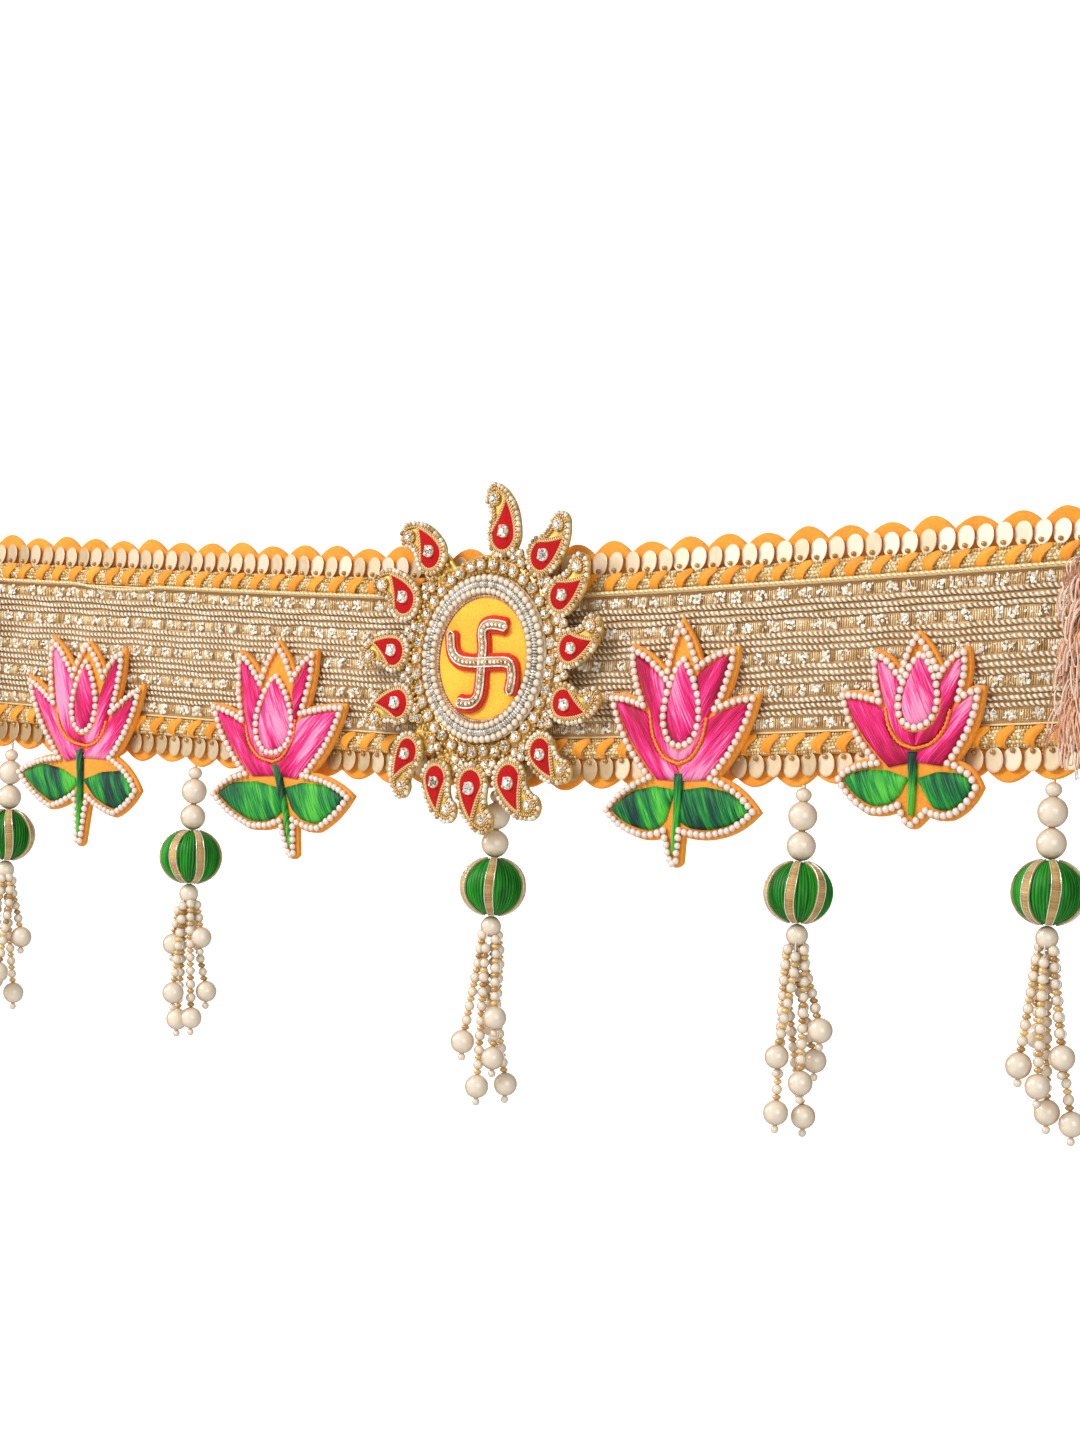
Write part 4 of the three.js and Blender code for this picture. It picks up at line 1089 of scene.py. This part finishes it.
# The auspicious cross: two lines that cross, their places from its middle.
CROSS_AT = (2, -41)
CROSS_WIDE, CROSS_END_WIDE = 6.4, 4.4
CHAIN_WIDE, CHAIN_END_WIDE = 3.5, 2.4
UPRIGHT_LINE = [(10.2, 11.9), (7.7, 12.4), (4.5, 12.7), (1.8, 12.5), (-0.1, 11.2), (-0.4, 9.2), (0.3, 5),
                (0.1, 0), (-0.1, -5), (-0.3, -9), (-1.2, -12.4), (-3.6, -14.4), (-7, -14.8), (-10.2, -14.4)]
LEVEL_LINE = [(-15.8, 9.4), (-15.5, 6.8), (-14.9, 4), (-13.2, 1.6), (-10.4, 0.2), (-7, -0.3), (-3, -0.5),
              (0.1, -0.4), (4, -0.3), (8, -0.2), (11.6, -0.3), (13.9, -1.3), (14.8, -4), (14.8, -7),
              (14, -10.4)]


def cross():
    """Red felt with a stone chain along its middle and a bead rim round the chain."""
    red, chain, gems = Gather(), Gather(), Gather()
    face = tier - DISC_THICK - GAP
    for number, line in enumerate((UPRIGHT_LINE, LEVEL_LINE)):
        lift = 0.05 * number
        felt_path, way = spread(smooth_path(np.array(line) + CROSS_AT, 5), 0.8)
        ends = np.vstack([felt_path[0] - 1.1 * way[0], felt_path, felt_path[-1] + 1.1 * way[-1]])
        wide = CROSS_WIDE + draw(-0.25, 0.25, len(ends))
        wide[[0, -1]] = CROSS_END_WIDE
        red.add(strip(upright(ends, face - 0.6 - lift), wide, 1.1))
        path = felt_path + (0.4, 0)
        wide = np.full(len(path), CHAIN_WIDE)
        wide[[0, -1]] = CHAIN_END_WIDE
        chain.add(strip(upright(path, face - 1.45 - lift), wide, 0.6), 1, 0.05)
        off = 1.5 * left_of(way)
        rim = np.vstack([path + off, path[-1] + 1.2 * way[-1], (path - off)[::-1], path[0] - 1.2 * way[0]])
        bright = draw(0.3, 1, len(rim))
        chain.add(tube(upright(rim, face - 1.75), 0.36, closed=True), 0, np.repeat(bright, TUBE_SIDES))
        stones, _ = spread(path, 1.9)
        stones = stones[1:-1] if number else stones[(np.abs(stones - CROSS_AT).max(1) > 1.6)]
        gems.stamp(GEM, upright(stones, face - 1.85), 0.78, tones=draw(0.3, 1, len(stones)))
    red.piece("cross_felt", [CROSS_FELT], "red_felt", ["symbol_felt"])
    chain.piece("cross_chain", [SILVER, GOLD_BEAD], "sequins", ["symbol_chain"])
    gems.piece("cross_stones", [WARM_STONE], "sequins", smooth=False)


# The paisleys: bulb at the origin, tail along +z, curling to -x.
def bent_line(bend, tip, steps):
    """A line bent once from the origin to its tip, with the way along it."""
    t = np.linspace(0, 1, steps + 1)[:, None]
    bend, tip = np.array(bend), np.array(tip)
    return t, 2 * t * (1 - t) * bend + t**2 * tip, unit((1 - 2 * t) * bend + t * tip)


def round_end(middle, reach, right, way):
    """A half circle from the right of an end to its left."""
    turn = pi * np.linspace(0, 1, 13)[1:-1, None]
    return middle + reach * (np.cos(turn) * right + np.sin(turn) * way)


def paisley_edge(by, steps=10):
    """The paisley's outline moved inwards."""
    t, line, way = bent_line(PAISLEY_BEND, PAISLEY_TIP, steps)
    right = -left_of(way)
    width = PAISLEY_R + (PAISLEY_TIP_R - PAISLEY_R) * t - by
    foot = round_end(line[0], width[0], -right[0], -way[0])
    tip = round_end(line[-1], width[-1], right[-1], way[-1])
    return np.vstack([foot, line + width * right, tip, (line - width * right)[::-1]])


def paisley_drop(grow):
    """The red teardrop inside a paisley, from its blunt foot round to its point and back."""
    t, line, way = bent_line(DROP_BEND, (DROP_POINT[0], DROP_POINT[1] + 1.7 * grow), 12)
    right = -left_of(way)
    width = (DROP_R + grow) * (1 - t**1.35)
    foot = round_end(line[0], width[0], -right[0], -way[0])
    return np.vstack([foot, line + width * right, (line - width * right)[-2::-1]])


def paisley(number, angle, reach, lean, size):
    name = f"paisley_{number:02d}"
    turn = radians(angle + lean - 90)
    c, s = cos(turn), sin(turn)
    spin = size * np.array([[c, s], [-s, c]])
    middle = on_medallion(reach, radians(angle), 0)[::2]
    drop, trim, gems = Gather(), Gather(), Gather()

    def placed(path):
        return np.asarray(path, float) @ spin + middle

    def rope(path, depth, radius, tone):
        path = upright(spread(placed(path), 0.9, closed=True)[0], tier - depth)
        trim.add(tube(path, radius, closed=True), 0, tone, turns_along(path, ROPE_TWIST))

    cut_felt(trim, placed(paisley_edge(0.4)), tier, 1.2, finish=2)
    border, _ = spread(placed(paisley_edge(1.0, 14)), 1.95, closed=True)
    n = len(border)
    trim.stamp(SEED, upright(border + draw(-0.1, 0.1, (n, 2)), tier - 1.5), 0.95 * draw(0.9, 1.05, n),
               finish=1, tones=draw(0.1, 1, n))
    rope(paisley_edge(2.3), 1.5, 0.5, draw(0.35, 0.6))
    rope(paisley_drop(0.35), 1.7, 0.48, draw(0.85, 1))
    rope(paisley_drop(1.2), 1.45, 0.42, draw(0.3, 0.5))
    cut_felt(drop, placed(paisley_drop(0)), tier - 0.9, 0.9)
    rope(SMALL_STONE + wheel(2.1, circle(16), 0)[:, ::2], 1.7, 0.5, 0.8)
    for place, out, wide in ((BIG_STONE, 2.1, 3.7), (SMALL_STONE, 2.0, 2.8)):
        stones_in_cups(gems, trim, upright(placed([place]), tier - out), wide * size, cup_finish=1)
    drop.piece(name + "_felt", [RED_FELT], "red_felt", [name])
    trim.piece(name + "_rope", [ROPE, BORDER_BEAD, FOIL], "gold_braid")
    gems.piece(name + "_stones", [STONE], "sequins", smooth=False)


# The tassels. Columns: x, each strand's end from the tassel's line as x, y and drop, and the angles
# of the gold strips round the ball.
TASSELS = [
    (-267, [(6, 5, 26), (-3, -6, 30), (4, -4, 40), (-6, 2, 43), (3, 5, 48), (-2, -3, 53)],
     (-150, -80, -35, 20, 100)),
    (-157, [(6, 2, 16), (-4, -3, 19), (1, -6, 37), (7, 5, 36), (-4, 1, 47), (5, 0, 46)],
     (-140, -75, -20, 60, 130)),
    (2, [(-5, -6, 40), (-2, 5, 34), (5, -1, 45), (1, -4, 55), (5, 6, 54), (8, -4, 31)],
     (-150, -110, -50, 30, 95)),
    (140, [(-1, -6, 39), (4, 7, 40), (9, 3, 30), (6, -2, 47), (-2, -4, 57), (2, 5, 58)],
     (-120, -64, -10, 70, 140)),
    (239, [(-4, 3, 30), (-4, -6, 39), (2, -4, 45), (7, 1, 36), (0, 4, 53), (8, 6, 56)],
     (-150, -95, -45, 25, 110)),
]
STRIP_SECTION = [(-1, 0.1), (-0.8, 0.42), (0, 0.42), (0.8, 0.42), (1, 0.1), (1, -0.3), (-1, -0.3)]
# A strand repeats a small pearl and a seed bead. The strands start side by side round the head pearl.
STRAND_PERIOD, STRAND_PEARL, STRAND_SEED = 5.0, 3.3, 1.7
STRAND_ROOT_R, CAP_R = 3.7, 2.7


def ball_line(centre, tilt, turn, rise):
    """Points on the wound ball, tilt counted from its lower pole and rise from its round body."""
    x, y, z = centre
    radius = BALL_D / 2 * np.sin(tilt) ** 0.92 + rise
    return xyz(x + radius * np.cos(turn), y + radius * np.sin(turn), z - BALL_TALL / 2 * np.cos(tilt))


def thread_ball(g, centre, number, strips):
    """A ball of green thread wound over its poles, with gold ribbon strips on it."""
    ridges, rows = 58, 22
    segments = ridges * 2
    turn = circle(segments)
    crown = np.abs(np.cos(turn * ridges / 2))
    tilt = np.linspace(0.12, pi - 0.12, rows)[:, None]
    # Painted shade and highlight: the tone is light on each ridge's crown and dark in the grooves between
    # ridges.
    tone = 1.1 * crown + 0.1 * np.sin(turn * 7 + number) + draw(-0.15, 0.15, segments)
    thread = xyz(turn * BALL_D / 2, tilt * BALL_TALL / 2, number).reshape(-1, 3)
    rise = (0.45 * crown - 0.2) * np.sin(tilt)
    g.add(loft(ball_line(centre, tilt, turn, rise)), 0, np.tile(tone, rows), thread)
    for at in np.radians(strips):
        tilt = np.linspace(0.2, pi - 0.2, rows)
        path = ball_line(centre, tilt, at + 0.05 * np.sin(2 * tilt + number), 0.3)
        out = unit(path - centre)
        across = (0.7 + 0.9 * np.sin(tilt))[:, None] * np.cross(out, unit(np.gradient(path, axis=0)))
        rings = np.stack([path + u * across + v * out for u, v in STRIP_SECTION], 1)
        thread = xyz(9 * tilt[:, None], np.arange(7.0), at).reshape(-1, 3)
        g.add(loft(rings), 1, draw(0.4, 0.8), thread)
        for edge in (-0.95, 0.95):
            g.add(tube(path + edge * across + 0.4 * out, 0.2, 4, side=(0.31, 0.23, 0.92)), 2, 0.8)


def strand(fall, seeds, route):
    """One strand of a tassel: its thread, pearls and seed beads, and the large pearl at its end."""
    fall.add(tube(route, 0.3, 4), 0, 0.3)
    length = lengths_along(route)[-1] - END_PEARL_D / 2
    count = floor(length / STRAND_PERIOD)
    at = length - STRAND_PERIOD * (count - np.arange(count))
    fall.stamp(BALL, at_lengths(route, at + STRAND_PEARL / 2), 1.85 * draw(0.94, 1.05, count))
    seeds.stamp(BALL, at_lengths(route, at + STRAND_PEARL + STRAND_SEED / 2), (1.5, 1.5, 0.95))
    end = route[-1]
    fall.stamp(ROUND_BALL, [end], END_PEARL_D / 2 * draw(0.97, 1.03))
    fall.stamp(BALL, [end - (0, 0, END_PEARL_D / 2 + 1.2)], 1.4)


def tassel(number, x, ends, strips):
    """From the band down: cap, two pearls, wound ball, head pearl and strands."""
    name = f"tassel_{number + 1}"
    y = felt_front / 2
    top = FELT_BOTTOM - BOTTOM_CREST + sag(x) - GAP
    cap = top - CAP_TALL / 2
    upper = cap - CAP_TALL / 2 - PEARL_D / 2
    lower = upper - PEARL_D
    ball_at = lower - PEARL_D / 2 - GAP - BALL_TALL / 2
    head = ball_at - BALL_TALL / 2 - GAP - HEAD_D / 2
    pearls = Gather()
    pearls.stamp(ROUND_BALL, [(x, y, upper), (x, y, lower)], PEARL_D / 2 * 1.02)
    pearls.stamp(ROUND_BALL, [(x, y, cap)], (CAP_R, CAP_R, CAP_TALL / 2 + 0.4), tones=0.3)
    pearls.add(tube([(x, y, z) for z in (top + 3, cap, upper, lower - PEARL_D / 2)], 0.7), 0, 0.3)
    pearls.piece(name + "_threaded_pearls", [PEARL], "pearl", [name + "_pearls"])
    g = Gather()
    thread_ball(g, (x, y, ball_at), number, strips)
    g.piece(name + "_wound_ball", [WOUND, GOTA, SILVER], "green_thread", [name + "_ball"])
    fall, seeds = Gather(), Gather()
    fall.stamp(ROUND_BALL, [(x, y, head)], HEAD_D / 2)
    by_side = sorted(ends, key=lambda end: atan2(end[1], end[0]))
    first_side = atan2(by_side[0][1], by_side[0][0])
    for (dx, dy, drop), turn in zip(by_side, first_side + circle(len(ends))):
        rx, ry = STRAND_ROOT_R * cos(turn), STRAND_ROOT_R * sin(turn)
        route = [(0.7 * rx, 0.7 * ry, head - 1), (rx, ry, head - min(12, 0.35 * drop)),
                 (0.5 * (rx + dx), 0.5 * (ry + dy), head - 0.65 * drop), (dx, dy, head - drop)]
        strand(fall, seeds, smooth_path(route) + (x, y, 0))
    fall.piece(name + "_pearl_strands", [PEARL], "pearl", [name + "_strands"])
    seeds.piece(name + "_seed_beads", [GOLD_BEAD], "gold_braid")


# How many loops a fringe has, how open a loop is at each point down it, and its threads' tones.
FRINGE_LOOPS = 330
OPEN_SHARES = np.array([0.3, 0.8, 1, 0.6])[:, None]
THREAD_TONES = (0.12, 0.5, 0.75, 0.9)


def fringe(place):
    """A tape down an end of the lace, covered by thread loops that fan out and hang."""
    x = FRINGE_X[place]
    top = LACE_TOP + sag(x) + 3
    g = Gather()
    tape = [(x, base_back - TAPE_THICK / 2, top - share * FRINGE_TALL) for share in (0, 0.5, 1)]
    g.add(strip(tape, FRINGE_WIDE, TAPE_THICK), 0, 0.4)
    for _ in range(FRINGE_LOOPS):
        level = draw(0, 1)
        root = np.array([x + draw(-3.2, 3.2), base_back - TAPE_THICK + 0.3,
                         top - 1.5 - level * (FRINGE_TALL - 3)])
        fan = draw(-1, 1)
        drop = draw(9, 17) * (0.6 + 0.4 * level)
        out = draw(3, 9.5)
        aside = fan * draw(3, 9)
        gap = draw(0.7, 2.0) * OPEN_SHARES * (cos(fan), 0.3 * fan, 0)
        line = root + [(0, 0, 0), (0.35 * aside, -0.75 * out, -0.15 * drop),
                       (0.8 * aside, -out, -0.55 * drop), (aside, -0.9 * out, -drop)]
        path = smooth_path([*(line - gap), line[-1] - (0, 0, 0.6), *(line + gap)[::-1]], 2)
        g.add(tube(path, draw(0.24, 0.34), 4), 0, rng.choice(THREAD_TONES))
    g.piece(f"fringe_{place}_loops", [FRINGE], "fringe_thread", ["fringe_" + place])


def staged_plane(name, corners, colour, glow=0.0):
    """A plane that belongs to the room, not to the object."""
    f = Finish(name + "_finish", 0.9, Emission_Strength=glow, Emission_Color=(1, 1, 1, 1))
    f.ramp(f.noise(3, 2), [(0.3, *colour), (0.7, *(min(1, 1.02 * c) for c in colour))])
    mesh = bpy.data.meshes.new(name)
    mesh.from_pydata(corners, [], [(0, 1, 2, 3)])
    mesh.materials.append(f.material)
    thing = bpy.data.objects.new(name, mesh)
    bpy.context.scene.collection.objects.link(thing)


def lamp(name, place, power, size):
    """A soft lamp that points at the medallion."""
    data = bpy.data.lights.new(name, "AREA")
    data.energy = power
    data.size = size
    light = bpy.data.objects.new(name, data)
    light.location = place
    light.rotation_euler = (AIM - Vector(place)).to_track_quat("-Z", "Y").to_euler()
    bpy.context.scene.collection.objects.link(light)


def stage():
    """A pale floor, a white wall behind, soft lights. Metres."""
    floor_z, wall_top = -0.95, 2.6
    floor_corners = [(6 * x, 6 * y, floor_z) for x, y in ((-1, -1), (1, -1), (1, 1), (-1, 1))]
    staged_plane("floor", floor_corners, (0.86, 0.85, 0.84))
    left, right = (view_forward * 3.3 + side * Vector((cos(YAW), sin(YAW), 0)) for side in (-2.2, 2.2))
    wall = [(left.x, left.y, floor_z), (right.x, right.y, floor_z), (right.x, right.y, wall_top),
            (left.x, left.y, wall_top)]
    staged_plane("backdrop", wall, (0.9, 0.9, 0.9), 0.95)
    lamp("key", (-0.55, -1.5, 1.1), 28, 0.85)
    lamp("fill", (1.7, -0.9, 0.1), 8, 1.2)
    lamp("left", (-1.4, -1.1, 0.3), 6, 0.8)
    world = bpy.data.worlds.new("room")
    world.use_nodes = True
    light = world.node_tree.nodes["Background"].inputs
    light["Color"].default_value = (1.0, 0.97, 0.93, 1)
    light["Strength"].default_value = 0.4
    bpy.context.scene.world = world
    bpy.context.scene.view_settings.view_transform = "Standard"


felt_band()
lace()
edge_cord()
braid("top", LACE_TOP + GAP + BRAID_TALL)
braid("bottom", LACE_BOTTOM - GAP)
sequins("sequins_top", LACE_TOP + GAP + BRAID_TALL + GAP, 1)
sequins("sequins_bottom", LACE_BOTTOM - GAP - BRAID_TALL - GAP, -1)
for number, facts in enumerate(LOTUSES):
    lotus(number + 1, facts)
medallion_ruffle()
medallion_stones()
medallion_rings()
medallion_disc()
cross()
for number, row in enumerate(PAISLEYS):
    paisley(number + 1, *row)
for number, row in enumerate(TASSELS):
    tassel(number, *row)
fringe("left")
fringe("right")
stage()
